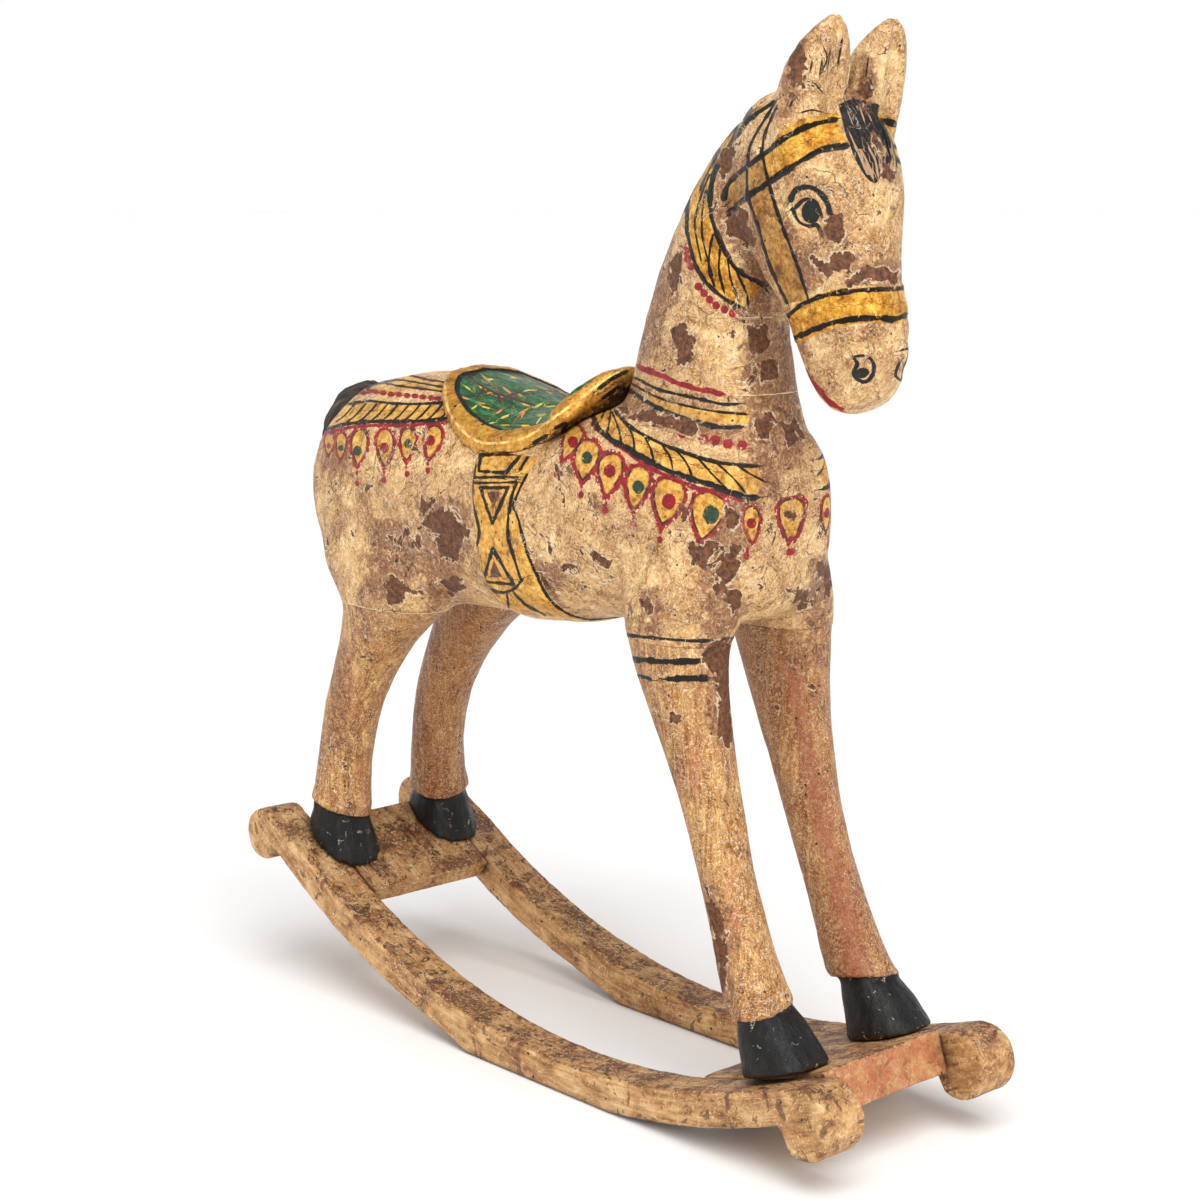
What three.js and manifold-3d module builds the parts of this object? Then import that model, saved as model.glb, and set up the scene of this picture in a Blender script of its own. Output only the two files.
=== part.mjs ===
// Painted wooden horse on a pair of curved runners, carved from blocks and standing as one piece.
// Millimetres, +X towards the horse's nose, +Y to its left, +Z up. Everything is drawn from the lowest
// point of the runners' arc, half way between them, and then moved to its origin on the floor.
import * as THREE from 'three';
import { mergeVertices } from 'three/addons/utils/BufferGeometryUtils.js';
import Module from 'manifold-3d';

const wasm = await Module();
wasm.setup();

// Driving dimensions
const JOINT_GAP = 0.3;            // air between two pieces that touch
const BEYOND = 900;               // further than any face of the horse

// Stand: two runners joined by two boards
const STAND_WIDTH = 200;          // over the outer faces of the runners
const RUNNER_WIDTH = 38.5;        // across one runner
const RUNNER_HEIGHT = 27.5;       // from its sole to its top
const RUNNER_RADIUS = 620;        // of the sole
// Flat spot on which it stands, under its weight, and the length of the ease behind it
const SOLE_FLAT = { from: -104, to: 62, ease: 56 };
// Scrolls at the ends: degrees round the arc, radius, and how far the middle lies below the top
const NOSE = { angle: 23.7, radius: 26, drop: 29 };
const REAR = { angle: -36.9, radius: 22.5, drop: 30 };
const SCROLL_SWEEP = { start: -140, end: 95 };   // degrees of the drawn part of a scroll
const RUNNER_BEVEL = 1.6;
// Boards under the hooves: degrees round the arc, and thickness
const FRONT_BOARD = { from: 11.5, to: 23.4, thick: 32 };
const REAR_BOARD = { from: -35.1, to: -26.6, thick: 17 };
const BOARD_BEVEL = 1.2;
const BOARD_SINK = 0.4;           // boards lie this much under the chord of the runner tops

// Horse
const FRONT_LEG_SPREAD = 54.5;    // from the middle to the axis of a front leg
const HIND_LEG_SPREAD = 53;
const LEG_STOUT = { right: 0.95, left: 0.97 };  // the two front legs were carved unalike
const FRONT_LEG_TOP = 352;        // height of the glued joint under the shoulder
const HIND_LEG_TOP = 333;         // height of the glued joint under the haunch
const NECK_SEAM_Z = 524;          // joint between the body block and the neck block
const HEAD_SEAM_Z = 577;          // joint between the neck block and the head block
const SADDLE_LOWEST = 440;        // nothing of the saddle hangs below this height
const SADDLE_THICK = 9.5;
const SADDLE_RIM = 10;            // width of the raised rim
const SADDLE_HOLLOW = 2.4;        // depth of the seat under its rim
const GIRTH_PROUD = 3.2;
const BAND_PROUD = 1.6;           // relief of the noseband and browband
const EAR_HOLLOW = 5;
const EAR_SPREAD = 28.5;          // from the middle to the axis of an ear
const EYE = { down: 76, out: 24, side: 39, size: [9, 4.5, 7.5], turn: 20 };

const RING = 24;                  // points around a carved section
const LIMB_RING = 16;             // points around a leg
const TRIM_RING = 14;             // points around an ear, the forelock, the pommel and the tail
const HALF_STAND = STAND_WIDTH / 2;
const RUNNER_MID = HALF_STAND - RUNNER_WIDTH / 2;
const ARC_CENTRE_Z = RUNNER_RADIUS;
const SOLE_CUT = RUNNER_RADIUS - Math.sqrt(RUNNER_RADIUS ** 2 - SOLE_FLAT.to ** 2);
const TOP_RADIUS = RUNNER_RADIUS - RUNNER_HEIGHT;

// Materials
const paintedWood = (color, roughness) => (
  new THREE.MeshStandardMaterial({ color, roughness, metalness: 0 })
);
const CREAM = paintedWood(0xcdb48a, 0.62);
const LEG_WOOD = paintedWood(0xc49a62, 0.5);
const STAND_WOOD = paintedWood(0xa87d4c, 0.7);
const SADDLE_GOLD = paintedWood(0xc28a2c, 0.45);
const TAIL_BLACK = paintedWood(0x2c241e, 0.55);

// Solids
const radians = (degrees) => degrees * Math.PI / 180;

function toSolid(geometry) {
  const bare = geometry.clone();
  for (const name of Object.keys(bare.attributes)) {
    if (name !== 'position') bare.deleteAttribute(name);
  }
  const welded = mergeVertices(bare, 1e-4);
  return new wasm.Manifold(new wasm.Mesh({
    numProp: 3,
    vertProperties: new Float32Array(welded.attributes.position.array),
    triVerts: new Uint32Array(welded.index.array),
  }));
}

function toGeometry(solid) {
  const mesh = solid.getMesh();
  const geometry = new THREE.BufferGeometry();
  const corners = new Float32Array(mesh.vertProperties);
  geometry.setAttribute('position', new THREE.BufferAttribute(corners, 3));
  geometry.setIndex(new THREE.BufferAttribute(new Uint32Array(mesh.triVerts), 1));
  geometry.computeVertexNormals();
  return geometry;
}

// A closed skin over a row of sections with equal numbers of points
function loft(sections) {
  const count = sections[0].length;
  const positions = [];
  const triangles = [];
  for (const section of sections) for (const p of section) positions.push(p.x, p.y, p.z);
  for (let s = 0; s + 1 < sections.length; s++) {
    for (let i = 0; i < count; i++) {
      const j = (i + 1) % count;
      const a = s * count + i;
      const b = s * count + j;
      triangles.push(a, b, b + count, a, b + count, a + count);
    }
  }
  for (const end of [0, sections.length - 1]) {
    const middle = new THREE.Vector3();
    for (const p of sections[end]) middle.addScaledVector(p, 1 / count);
    const tip = positions.length / 3;
    positions.push(middle.x, middle.y, middle.z);
    for (let i = 0; i < count; i++) {
      const a = end * count + i;
      const b = end * count + (i + 1) % count;
      if (end === 0) triangles.push(b, a, tip);
      else triangles.push(a, b, tip);
    }
  }
  if (signedVolume(positions, triangles) < 0) {
    for (let i = 0; i < triangles.length; i += 3) {
      [triangles[i], triangles[i + 1]] = [triangles[i + 1], triangles[i]];
    }
  }
  const geometry = new THREE.BufferGeometry();
  geometry.setAttribute('position', new THREE.Float32BufferAttribute(positions, 3));
  geometry.setIndex(triangles);
  return toSolid(geometry);
}

function signedVolume(positions, triangles) {
  let sum = 0;
  const corner = (k) => new THREE.Vector3().fromArray(positions, 3 * k);
  for (let i = 0; i < triangles.length; i += 3) {
    const [a, b, c] = [corner(triangles[i]), corner(triangles[i + 1]), corner(triangles[i + 2])];
    sum += a.dot(b.cross(c));
  }
  return sum;
}

// Rows of numbers, one per station, drawn out to a smooth run of more rows
function smoothRows(rows, perSpan) {
  const out = [];
  const at = (i) => rows[Math.min(Math.max(i, 0), rows.length - 1)];
  for (let i = 0; i + 1 < rows.length; i++) {
    for (let k = 0; k < perSpan; k++) {
      const t = k / perSpan;
      out.push(rows[i].map((_, c) => {
        const [p, q, r, s] = [at(i - 1)[c], at(i)[c], at(i + 1)[c], at(i + 2)[c]];
        return 0.5 * (2 * q + (r - p) * t + (2 * p - 5 * q + 4 * r - s) * t * t
          + (3 * q - p - 3 * r + s) * t * t * t);
      }));
    }
  }
  out.push(rows[rows.length - 1].slice());
  return out;
}

// An oval of given squareness: 2 is an ellipse, more is boxier
function oval(count, low, high, half, squareness) {
  const middle = (low + high) / 2;
  const reach = (high - low) / 2;
  const power = 2 / squareness;
  const bend = (v) => Math.sign(v) * Math.abs(v) ** power;
  const points = [];
  for (let i = 0; i < count; i++) {
    const turn = 2 * Math.PI * i / count;
    points.push([middle + reach * bend(Math.cos(turn)), half * bend(Math.sin(turn))]);
  }
  return points;
}

// A section that is blunt in front and drawn out behind, widest at CREST_SHARE of its length
const CREST_SHARE = 0.62;
const CREST_SQUARENESS = 1.9;

function egg(count, back, front, half, squareness) {
  const widest = back + (front - back) * CREST_SHARE;
  const behind = oval(count, back, 2 * widest - back, half, CREST_SQUARENESS);
  const before = oval(count, 2 * widest - front, front, half, squareness);
  return before.map((point, i) => (point[0] >= widest ? point : behind[i]));
}

function extruded(outline, depth, bevel = 0) {
  const shape = new THREE.Shape(outline.map(([x, y]) => new THREE.Vector2(x, y)));
  const geometry = new THREE.ExtrudeGeometry(shape, {
    depth: depth - 2 * bevel, bevelEnabled: bevel > 0, bevelThickness: bevel, bevelSize: bevel,
    bevelOffset: -bevel, bevelSegments: 1, curveSegments: 1,
  });
  geometry.translate(0, 0, bevel);
  return geometry;
}

// Stand
function polar(radius, degrees) {
  return [radius * Math.sin(radians(degrees)), ARC_CENTRE_Z - radius * Math.cos(radians(degrees))];
}

function runnerOutline() {
  const outline = [];
  const angleAt = (x) => THREE.MathUtils.radToDeg(Math.asin(x / RUNNER_RADIUS));
  const frontStart = angleAt(SOLE_FLAT.to);
  const rearStart = angleAt(SOLE_FLAT.from - SOLE_FLAT.ease);
  const soleSteps = 7;
  const topSteps = 16;
  const topTrim = 1.5;            // degrees of the top left to each scroll
  const noseEnd = NOSE.angle - scrollReach(NOSE);
  const rearEnd = REAR.angle + scrollReach(REAR);
  for (let i = 0; i <= soleSteps; i++) {
    outline.push(polar(RUNNER_RADIUS, frontStart + (noseEnd - frontStart) * i / soleSteps));
  }
  outline.push(...scrollArc(NOSE, 1));
  const topStart = NOSE.angle - topTrim;
  const topEnd = REAR.angle + topTrim;
  for (let i = 1; i < topSteps; i++) {
    outline.push(polar(TOP_RADIUS, topStart + (topEnd - topStart) * i / topSteps));
  }
  outline.push(...scrollArc(REAR, -1).reverse());
  const rearSteps = soleSteps + 2;
  for (let i = 0; i <= rearSteps; i++) {
    outline.push(polar(RUNNER_RADIUS, rearEnd + (rearStart - rearEnd) * i / rearSteps));
  }
  outline.push([SOLE_FLAT.from, SOLE_CUT]);
  return outline;
}

// How far round the arc a scroll reaches under its runner, in degrees
function scrollReach(scroll) {
  const share = 0.85;
  return THREE.MathUtils.radToDeg(scroll.radius * share / RUNNER_RADIUS);
}

// The rounded end, from under the runner round its nose and back to the top
function scrollArc(scroll, side) {
  const centre = polar(TOP_RADIUS + scroll.drop, scroll.angle);
  const tilt = radians(scroll.angle);
  const points = [];
  const steps = 14;
  const { start, end } = SCROLL_SWEEP;
  for (let i = 0; i <= steps; i++) {
    const turn = radians(start + (end - start) * i / steps);
    const along = scroll.radius * Math.cos(turn) * side;
    const up = scroll.radius * Math.sin(turn);
    points.push([
      centre[0] + along * Math.cos(tilt) - up * Math.sin(tilt),
      centre[1] + along * Math.sin(tilt) + up * Math.cos(tilt),
    ]);
  }
  return points;
}

function runner() {
  const geometry = extruded(runnerOutline(), RUNNER_WIDTH, RUNNER_BEVEL);
  geometry.translate(0, 0, -RUNNER_WIDTH / 2);
  geometry.rotateX(Math.PI / 2);
  return toSolid(geometry);
}

// The plane of a board's top, as a middle angle and a distance from the centre of the arc
function boardPlane({ from, to }) {
  const middle = (from + to) / 2;
  const reach = TOP_RADIUS * Math.cos(radians((to - from) / 2)) + BOARD_SINK;
  return { middle, reach };
}

function board(spec) {
  const { middle, reach } = boardPlane(spec);
  const length = 2 * TOP_RADIUS * Math.sin(radians((spec.to - spec.from) / 2));
  const width = STAND_WIDTH - 2 * RUNNER_WIDTH - 2 * JOINT_GAP;
  const half = length / 2;
  const outline = [[-half, 0], [half, 0], [half, spec.thick], [-half, spec.thick]];
  const geometry = extruded(outline, width, BOARD_BEVEL);
  geometry.translate(0, 0, -width / 2);
  geometry.rotateX(Math.PI / 2);
  geometry.translate(0, 0, -reach - spec.thick);
  geometry.rotateY(-radians(middle));
  geometry.translate(0, 0, ARC_CENTRE_Z);
  return toSolid(geometry);
}

// Everything above a board's top, as a large block to cut hooves with
function aboveBoard(spec) {
  const { middle, reach } = boardPlane(spec);
  const block = new THREE.BoxGeometry(BEYOND, BEYOND, BEYOND);
  block.translate(0, 0, BEYOND / 2 - reach + JOINT_GAP);
  block.rotateY(-radians(middle));
  block.translate(0, 0, ARC_CENTRE_Z);
  return toSolid(block);
}

// Body: stations along X give the sole of the belly, the top of the back and half the width
const BODY = [
  [-349, 402, 444, 36, 2.1],
  [-345, 376, 466, 54, 2.2],
  [-333, 352, 488, 69, 2.35],
  [-300, 340, 509, 78, 2.5],
  [-250, 335, 518, 82, 2.5],
  [-200, 335, 517, 84, 2.5],
  [-150, 336, 506, 84, 2.4],
  [-100, 339, 493, 83, 2.4],
  [-50, 344, 496, 82, 2.5],
  [0, 350, 513, 80, 2.6],
  [50, 355, 522, 76, 2.6],
  [92, 359, 520, 69, 2.6],
  [118, 363, 509, 61, 2.5],
  [134, 374, 498, 51, 2.5],
  [141, 390, 482, 39, 2.4],
];

function bodySkin(swell) {
  const first = BODY[0][0];
  const last = BODY[BODY.length - 1][0];
  return loft(BODY.map(([x, low, high, half, square]) => {
    const shift = x + swell * (2 * (x - first) / (last - first) - 1);
    return oval(RING, low - swell, high + swell, half + swell, square)
      .map(([z, y]) => new THREE.Vector3(shift, y, z));
  }));
}

// A column of sections along Z: height, middle, half length, half width, squareness
function column(rows, spread, side, stout = 1) {
  return loft(rows.map(([z, x, halfX, halfY, square, inward]) => (
    oval(LIMB_RING, x - halfX * stout, x + halfX * stout, halfY * stout, square)
      .map(([px, py]) => new THREE.Vector3(px, side * (spread - inward) + py, z))
  )));
}

const SHOULDER = [
  [FRONT_LEG_TOP, 83, 43, 31.5, 2.3, 2.5],
  [372, 82, 48, 33, 2.3, 6],
  [410, 80, 50, 30, 2.3, 14],
  [450, 78, 44, 24, 2.2, 24],
];
const HAUNCH = [
  [HIND_LEG_TOP, -243, 55, 32.5, 2.4, 1],
  [360, -247, 79, 35, 2.4, 3],
  [400, -251, 91, 33, 2.3, 8],
  [450, -252, 76, 26, 2.2, 16],
];
const FRONT_LEG = [
  [100, 167.5, 23.8, 22.8, 2.2, 0.8],
  [106, 165.5, 25.6, 24.4, 2.2, 1.2],
  [122, 157.6, 24.6, 23.4, 2.15, 2],
  [154, 144.4, 23.0, 21.8, 2.1, 3],
  [187, 131.4, 22.4, 21.4, 2.1, 4.2],
  [221, 119.5, 23.4, 22.2, 2.15, 5.2],
  [255, 108.4, 26.0, 24.2, 2.2, 4.6],
  [283, 99.3, 29.6, 26.6, 2.2, 3.9],
  [310, 91.3, 34.0, 28.6, 2.25, 2.6],
  [332, 86, 38.6, 30.6, 2.3, 2],
  [FRONT_LEG_TOP, 83, 42.5, 31.5, 2.3, 2],
];
const FRONT_HOOF = [
  [40, 204, 35.0, 31.0, 2.4, 0],
  [72, 193, 31.5, 28.4, 2.3, 0],
  [88, 183, 27.2, 25.2, 2.2, 0],
  [104, 172, 22.4, 21.5, 2.2, 0.8],
];
const HIND_LEG = [
  [146, -322, 23.2, 22.8, 2.2, 0],
  [151, -322, 25.0, 24.4, 2.2, 0.5],
  [166, -322, 24.0, 23.4, 2.15, 2],
  [190, -320, 23.6, 22.6, 2.1, 3.5],
  [216, -315, 24.0, 23.0, 2.1, 4.5],
  [243, -306, 25.6, 24.0, 2.15, 5],
  [270, -292, 28.8, 25.6, 2.2, 5],
  [298, -273, 35.0, 28.4, 2.25, 4],
  [318, -257, 44.0, 30.8, 2.3, 2.5],
  [HIND_LEG_TOP, -243, 54.0, 32.5, 2.4, 1],
];
const HIND_HOOF = [
  [80, -318, 36.0, 33.5, 2.4, 0],
  [112, -323, 33.5, 30.5, 2.3, 0],
  [130, -324, 28.5, 27.0, 2.2, 0],
  [150, -322, 22.6, 22.2, 2.2, 0],
];

function leg(rows, hoofRows, spread, side, boardSpec, stout) {
  const limb = column(rows, spread, side, stout);
  const hoof = column(hoofRows, spread, side).intersect(aboveBoard(boardSpec));
  return limb.add(hoof);
}

function slab(lowZ, highZ) {
  const block = new THREE.BoxGeometry(2 * BEYOND, 2 * BEYOND, highZ - lowZ);
  block.translate(0, 0, (lowZ + highZ) / 2);
  return toSolid(block);
}

// Neck and the carved root under it: height, back, front, half width, squareness
const NECK = [
  [470, -30, 138, 54, 2.5],
  [500, -22, 133, 49, 2.5],
  [NECK_SEAM_Z, -12, 127, 44, 2.6],
  [550, -5, 122, 41, 2.7],
  [HEAD_SEAM_Z, 4, 119, 38, 2.7],
  [605, 15, 122, 36, 2.6],
  [635, 31, 130, 35, 2.5],
  [665, 50, 140, 34, 2.4],
  [690, 71, 150, 31, 2.3],
  [706, 88, 156, 27, 2.2],
  [716, 102, 156, 21, 2.0],
];

function neckColumn() {
  return loft(NECK.map(([z, back, front, half, square]) => (
    egg(RING, back, front, half, square).map(([x, y]) => new THREE.Vector3(x, y, z))
  )));
}

// Head: distance down its axis, back and front of the section, half width, squareness
const HEAD_ORIGIN = new THREE.Vector3(130, 0, 705);
const HEAD_LEAN = 30.3;           // of the axis from the plumb line, degrees
const HEAD_AXIS = new THREE.Vector3(Math.sin(radians(HEAD_LEAN)), 0, -Math.cos(radians(HEAD_LEAN)));
const HEAD_FRONT = new THREE.Vector3(Math.cos(radians(HEAD_LEAN)), 0, Math.sin(radians(HEAD_LEAN)));
const HEAD = [
  [-22, -12, 12, 14, 2.0],
  [-18, -20, 26, 24, 2.0],
  [-7, -34, 43, 34.5, 2.2],
  [12, -44, 58, 41.5, 2.4],
  [34, -49, 65, 45, 2.5],
  [58, -51, 65, 46.5, 2.6],
  [80, -50, 58, 45, 2.5],
  [100, -46, 47, 39.5, 2.5],
  [120, -46, 37, 34, 2.6],
  [142, -50, 28, 31.5, 2.6],
  [164, -51, 20, 31, 2.5],
  [181, -49, 11, 29.5, 2.4],
  [192, -44, 0, 26, 2.2],
  [199, -36, -11, 17, 2.0],
];

function headPoint(down, out, y) {
  return HEAD_ORIGIN.clone().addScaledVector(HEAD_AXIS, down).addScaledVector(HEAD_FRONT, out)
    .add(new THREE.Vector3(0, y, 0));
}

function headSkin(swell) {
  return loft(HEAD.map(([down, back, front, half, square]) => (
    oval(RING, back - swell, front + swell, half + swell, square)
      .map(([out, y]) => headPoint(down, out, y))
  )));
}

// Straps of the bridle: place down the axis and out from it, lean from level, width
const NOSEBAND = { down: 138, out: 0, lean: 12, width: 20 };
const BROWBAND = { down: 42, out: 30, lean: -35, width: 21 };

// The part of a swollen head skin between two planes across the head, as a raised strap
function headBand(skin, strap) {
  const centre = headPoint(strap.down, strap.out, 0);
  const block = new THREE.BoxGeometry(BEYOND, BEYOND, strap.width);
  block.rotateY(radians(strap.lean));
  block.translate(centre.x, centre.y, centre.z);
  return skin.intersect(toSolid(block));
}

// Ears: height, middle, half depth, half width
const EAR = [
  [688, 173, 21, 22], [706, 175, 22, 24.5], [726, 179.5, 21.5, 25.5], [745, 185, 19, 24],
  [760, 191, 14.5, 19], [770, 196.5, 9, 12], [777, 200, 2.5, 3.5],
];
const EAR_MOUTH = 0.62;           // width of the hollow as a share of the ear

function ear(side) {
  const hollowReach = 20;
  const shell = loft(EAR.map(([z, x, deep, half]) => (
    oval(TRIM_RING, x - deep, x + deep, half, 2)
      .map(([px, py]) => new THREE.Vector3(px, side * EAR_SPREAD + py, z))
  )));
  const hollow = loft(EAR.slice(1).map(([z, x, deep, half]) => (
    oval(TRIM_RING, x + deep - EAR_HOLLOW, x + deep + hollowReach, half * EAR_MOUTH, 2)
      .map(([px, py]) => new THREE.Vector3(px, side * EAR_SPREAD + py, z))
  )));
  return shell.subtract(hollow);
}

// Forelock: distance down the head's axis, reach out from it, thickness over two, half width
const FORELOCK = [
  [-4, 52, 12, 12], [6, 62, 12, 15], [26, 67, 9, 17], [44, 67.5, 8, 14], [60, 65, 7, 8], [71, 60, 5, 2],
];

function forelock() {
  return loft(FORELOCK.map(([down, out, thick, half]) => (
    oval(TRIM_RING, out - thick, out, half, 2).map(([o, y]) => headPoint(down, o, y))
  )));
}

function eye(side) {
  const ball = new THREE.SphereGeometry(1, 12, 6);
  ball.scale(...EYE.size);
  ball.rotateY(radians(EYE.turn));
  const place = headPoint(EYE.down, EYE.out, side * EYE.side);
  ball.translate(place.x, place.y, place.z);
  return toSolid(ball);
}

function headBlock() {
  const swollen = headSkin(BAND_PROUD);
  const straps = headBand(swollen, NOSEBAND).add(headBand(swollen, BROWBAND));
  const upperNeck = neckColumn().intersect(slab(HEAD_SEAM_Z + JOINT_GAP, BEYOND));
  let solid = headSkin(0).add(upperNeck).add(straps);
  for (const side of [-1, 1]) solid = solid.add(ear(side)).add(eye(side));
  return solid.add(forelock());
}

// Saddle: outline seen from above, on the near side from cantle to pommel
const SADDLE_OUTLINE = [
  [-202, 0], [-198, 30], [-180, 53], [-150, 67], [-115, 72],
  [-82, 69], [-54, 61], [-36, 50], [-22, 30], [-18, 0],
];

function saddleOutline(inset) {
  const half = smoothRows(SADDLE_OUTLINE, 2);
  const centreX = (SADDLE_OUTLINE[0][0] + SADDLE_OUTLINE.at(-1)[0]) / 2;
  const shrink = ([x, y]) => {
    const reach = Math.hypot(x - centreX, y);
    const keep = (reach - inset) / reach;
    return [centreX + (x - centreX) * keep, y * keep];
  };
  const near = half.map(shrink);
  const far = near.slice(1, -1).reverse().map(([x, y]) => [x, -y]);
  return near.concat(far);
}

// The pommel: a bar arched over the withers, given by side reach, length place, middle height,
// half thickness and half height
const POMMEL = [
  [66, -44, 486, 4, 4], [60, -40, 497, 7, 8], [44, -33, 510, 8.5, 11],
  [22, -27, 520, 9, 12], [0, -25, 523, 9, 12],
];
const POMMEL_SQUARENESS = 2.2;

function pommel() {
  const far = POMMEL.slice(0, -1).reverse().map(([y, ...rest]) => [-y, ...rest]);
  return loft(POMMEL.concat(far).map(([y, x, z, thick, tall]) => (
    oval(TRIM_RING, x - thick, x + thick, tall, POMMEL_SQUARENESS)
      .map(([px, pz]) => new THREE.Vector3(px, y, z + pz))
  )));
}

function saddlePrism(inset) {
  const geometry = extruded(saddleOutline(inset), BEYOND);
  geometry.translate(0, 0, SADDLE_LOWEST);
  return toSolid(geometry);
}

function saddle(rooted) {
  const plate = bodySkin(SADDLE_THICK).intersect(saddlePrism(0));
  const seat = saddlePrism(SADDLE_RIM).subtract(bodySkin(SADDLE_THICK - SADDLE_HOLLOW));
  return plate.subtract(seat).add(pommel()).subtract(rooted);
}

// Girth: outline seen from the side, drawn in at its waist
const GIRTH_OUTLINE = [
  [-114, 470], [-46, 470], [-60, 435], [-53, 424], [-40, 385],
  [-38, 320], [-104, 320], [-101, 380], [-104, 425],
];

function girthBand() {
  const geometry = extruded(GIRTH_OUTLINE, 2 * BEYOND);
  geometry.rotateX(Math.PI / 2);
  geometry.translate(0, BEYOND, 0);
  return toSolid(geometry).intersect(bodySkin(GIRTH_PROUD));
}

function torso() {
  let solid = bodySkin(0);
  for (const side of [-1, 1]) {
    solid = solid.add(column(SHOULDER, FRONT_LEG_SPREAD, side));
    solid = solid.add(column(HAUNCH, HIND_LEG_SPREAD, side));
  }
  const root = neckColumn().intersect(slab(0, NECK_SEAM_Z - JOINT_GAP));
  return solid.add(girthBand()).add(root);
}

// Tail: length place, height, half thickness, half width
const TAIL = [
  [-318, 490, 9, 12], [-344, 494, 11, 14], [-366, 486, 12, 16], [-383, 467, 13, 17],
  [-388, 441, 13, 18], [-383, 410, 12.5, 18], [-372, 380, 11, 16], [-362, 352, 8, 11], [-357, 334, 3, 4],
];

function tail() {
  return loft(TAIL.map(([x, z, thick, half], i) => {
    const next = TAIL[Math.min(i + 1, TAIL.length - 1)];
    const last = TAIL[Math.max(i - 1, 0)];
    const along = new THREE.Vector3(next[0] - last[0], 0, next[1] - last[1]).normalize();
    const across = new THREE.Vector3(along.z, 0, -along.x);
    return oval(TRIM_RING, -thick, thick, half, 2)
      .map(([out, y]) => new THREE.Vector3(x, y, z).addScaledVector(across, out));
  }));
}

// Assembly
const horse = new THREE.Group();

function addPiece(name, solid, material) {
  const mesh = new THREE.Mesh(toGeometry(solid), material);
  mesh.name = name;
  horse.add(mesh);
  return mesh;
}

const body = torso();
const bodyWithGap = bodySkin(JOINT_GAP).add(body).add(girthBand());
const neck = neckColumn().intersect(slab(NECK_SEAM_Z, HEAD_SEAM_Z));
addPiece('torso', body, CREAM);
addPiece('neck', neck, CREAM);
addPiece('head', headBlock().subtract(neck), CREAM);
const underBody = (top) => slab(0, top - JOINT_GAP).subtract(bodyWithGap);
for (const [name, side] of [['right', -1], ['left', 1]]) {
  const front = leg(FRONT_LEG, FRONT_HOOF, FRONT_LEG_SPREAD, side, FRONT_BOARD, LEG_STOUT[name]);
  const hind = leg(HIND_LEG, HIND_HOOF, HIND_LEG_SPREAD, side, REAR_BOARD, 1);
  addPiece(`front_leg_${name}`, front.intersect(underBody(FRONT_LEG_TOP)), LEG_WOOD);
  addPiece(`hind_leg_${name}`, hind.intersect(underBody(HIND_LEG_TOP)), LEG_WOOD);
  const bar = addPiece(`runner_${name}`, runner(), STAND_WOOD);
  bar.position.y = side * RUNNER_MID;
}
addPiece('saddle', saddle(bodyWithGap.add(neckColumn())), SADDLE_GOLD);
addPiece('tail', tail().subtract(bodyWithGap), TAIL_BLACK);
addPiece('front_board', board(FRONT_BOARD), STAND_WOOD);
addPiece('rear_board', board(REAR_BOARD), STAND_WOOD);

// The origin lies on the floor under the middle of the whole length
horse.position.x = -new THREE.Box3().setFromObject(horse).getCenter(new THREE.Vector3()).x;
horse.position.z = -SOLE_CUT;

export default horse;
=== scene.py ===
import math

import bmesh
import bpy
import numpy as np
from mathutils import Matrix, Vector


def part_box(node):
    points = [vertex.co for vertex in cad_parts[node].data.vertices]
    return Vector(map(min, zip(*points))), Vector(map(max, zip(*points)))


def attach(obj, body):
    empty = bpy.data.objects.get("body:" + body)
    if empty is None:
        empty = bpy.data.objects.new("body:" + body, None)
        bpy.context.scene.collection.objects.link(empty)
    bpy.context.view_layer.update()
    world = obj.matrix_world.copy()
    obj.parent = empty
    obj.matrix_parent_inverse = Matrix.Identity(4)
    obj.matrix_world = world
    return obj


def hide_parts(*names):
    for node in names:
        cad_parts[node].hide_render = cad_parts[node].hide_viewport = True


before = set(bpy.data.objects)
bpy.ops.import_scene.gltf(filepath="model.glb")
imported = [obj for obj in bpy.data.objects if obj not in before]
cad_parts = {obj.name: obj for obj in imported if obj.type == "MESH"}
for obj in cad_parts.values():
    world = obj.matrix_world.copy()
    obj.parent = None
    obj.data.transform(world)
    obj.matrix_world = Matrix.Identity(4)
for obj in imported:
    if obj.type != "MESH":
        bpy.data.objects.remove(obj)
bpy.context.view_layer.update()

# The carver's drawing: millimetres from the lowest point of the runners' arc
NECK_BACK = -12
NECK_SEAM = 524
HEAD_SEAM = 577
FRONT_LEG_SEAM = 352
HIND_LEG_SEAM = 333
FRONT_LEGS_FROM = 20              # front legs lie ahead of this, hind legs behind the next
HIND_LEGS_FROM = -180
SEAM_GAP = 0.15                   # a piece's own half of a glue line
MUZZLE_FROM = 142                 # the muzzle lies ahead of this and above the next
MUZZLE_ABOVE = 500
neck_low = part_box("neck")[0]
DRAWING_ORIGIN = np.array([neck_low.x - NECK_BACK / 1000, 0, neck_low.z - NECK_SEAM / 1000])

# The photograph's camera, in the same drawing
CAMERA_PLACE = np.array([1273.772, -1216.695, 679.305])
CAMERA_TURN = math.radians(47.5547)
CAMERA_DIP = math.radians(10.2133)
FOCAL_PIXELS = 2400
PHOTO_MIDDLE = 600
LENS = 72

# Head axis, as it is carved
HEAD_ORIGIN = np.array([130, 0, 705])
HEAD_LEAN = math.radians(30.3)
HEAD_DOWN = np.array([math.sin(HEAD_LEAN), 0, -math.cos(HEAD_LEAN)])
HEAD_OUT = np.array([math.cos(HEAD_LEAN), 0, math.sin(HEAD_LEAN)])

# Runner arc
ARC_CENTRE = np.array([0, 0, 620])


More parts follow.
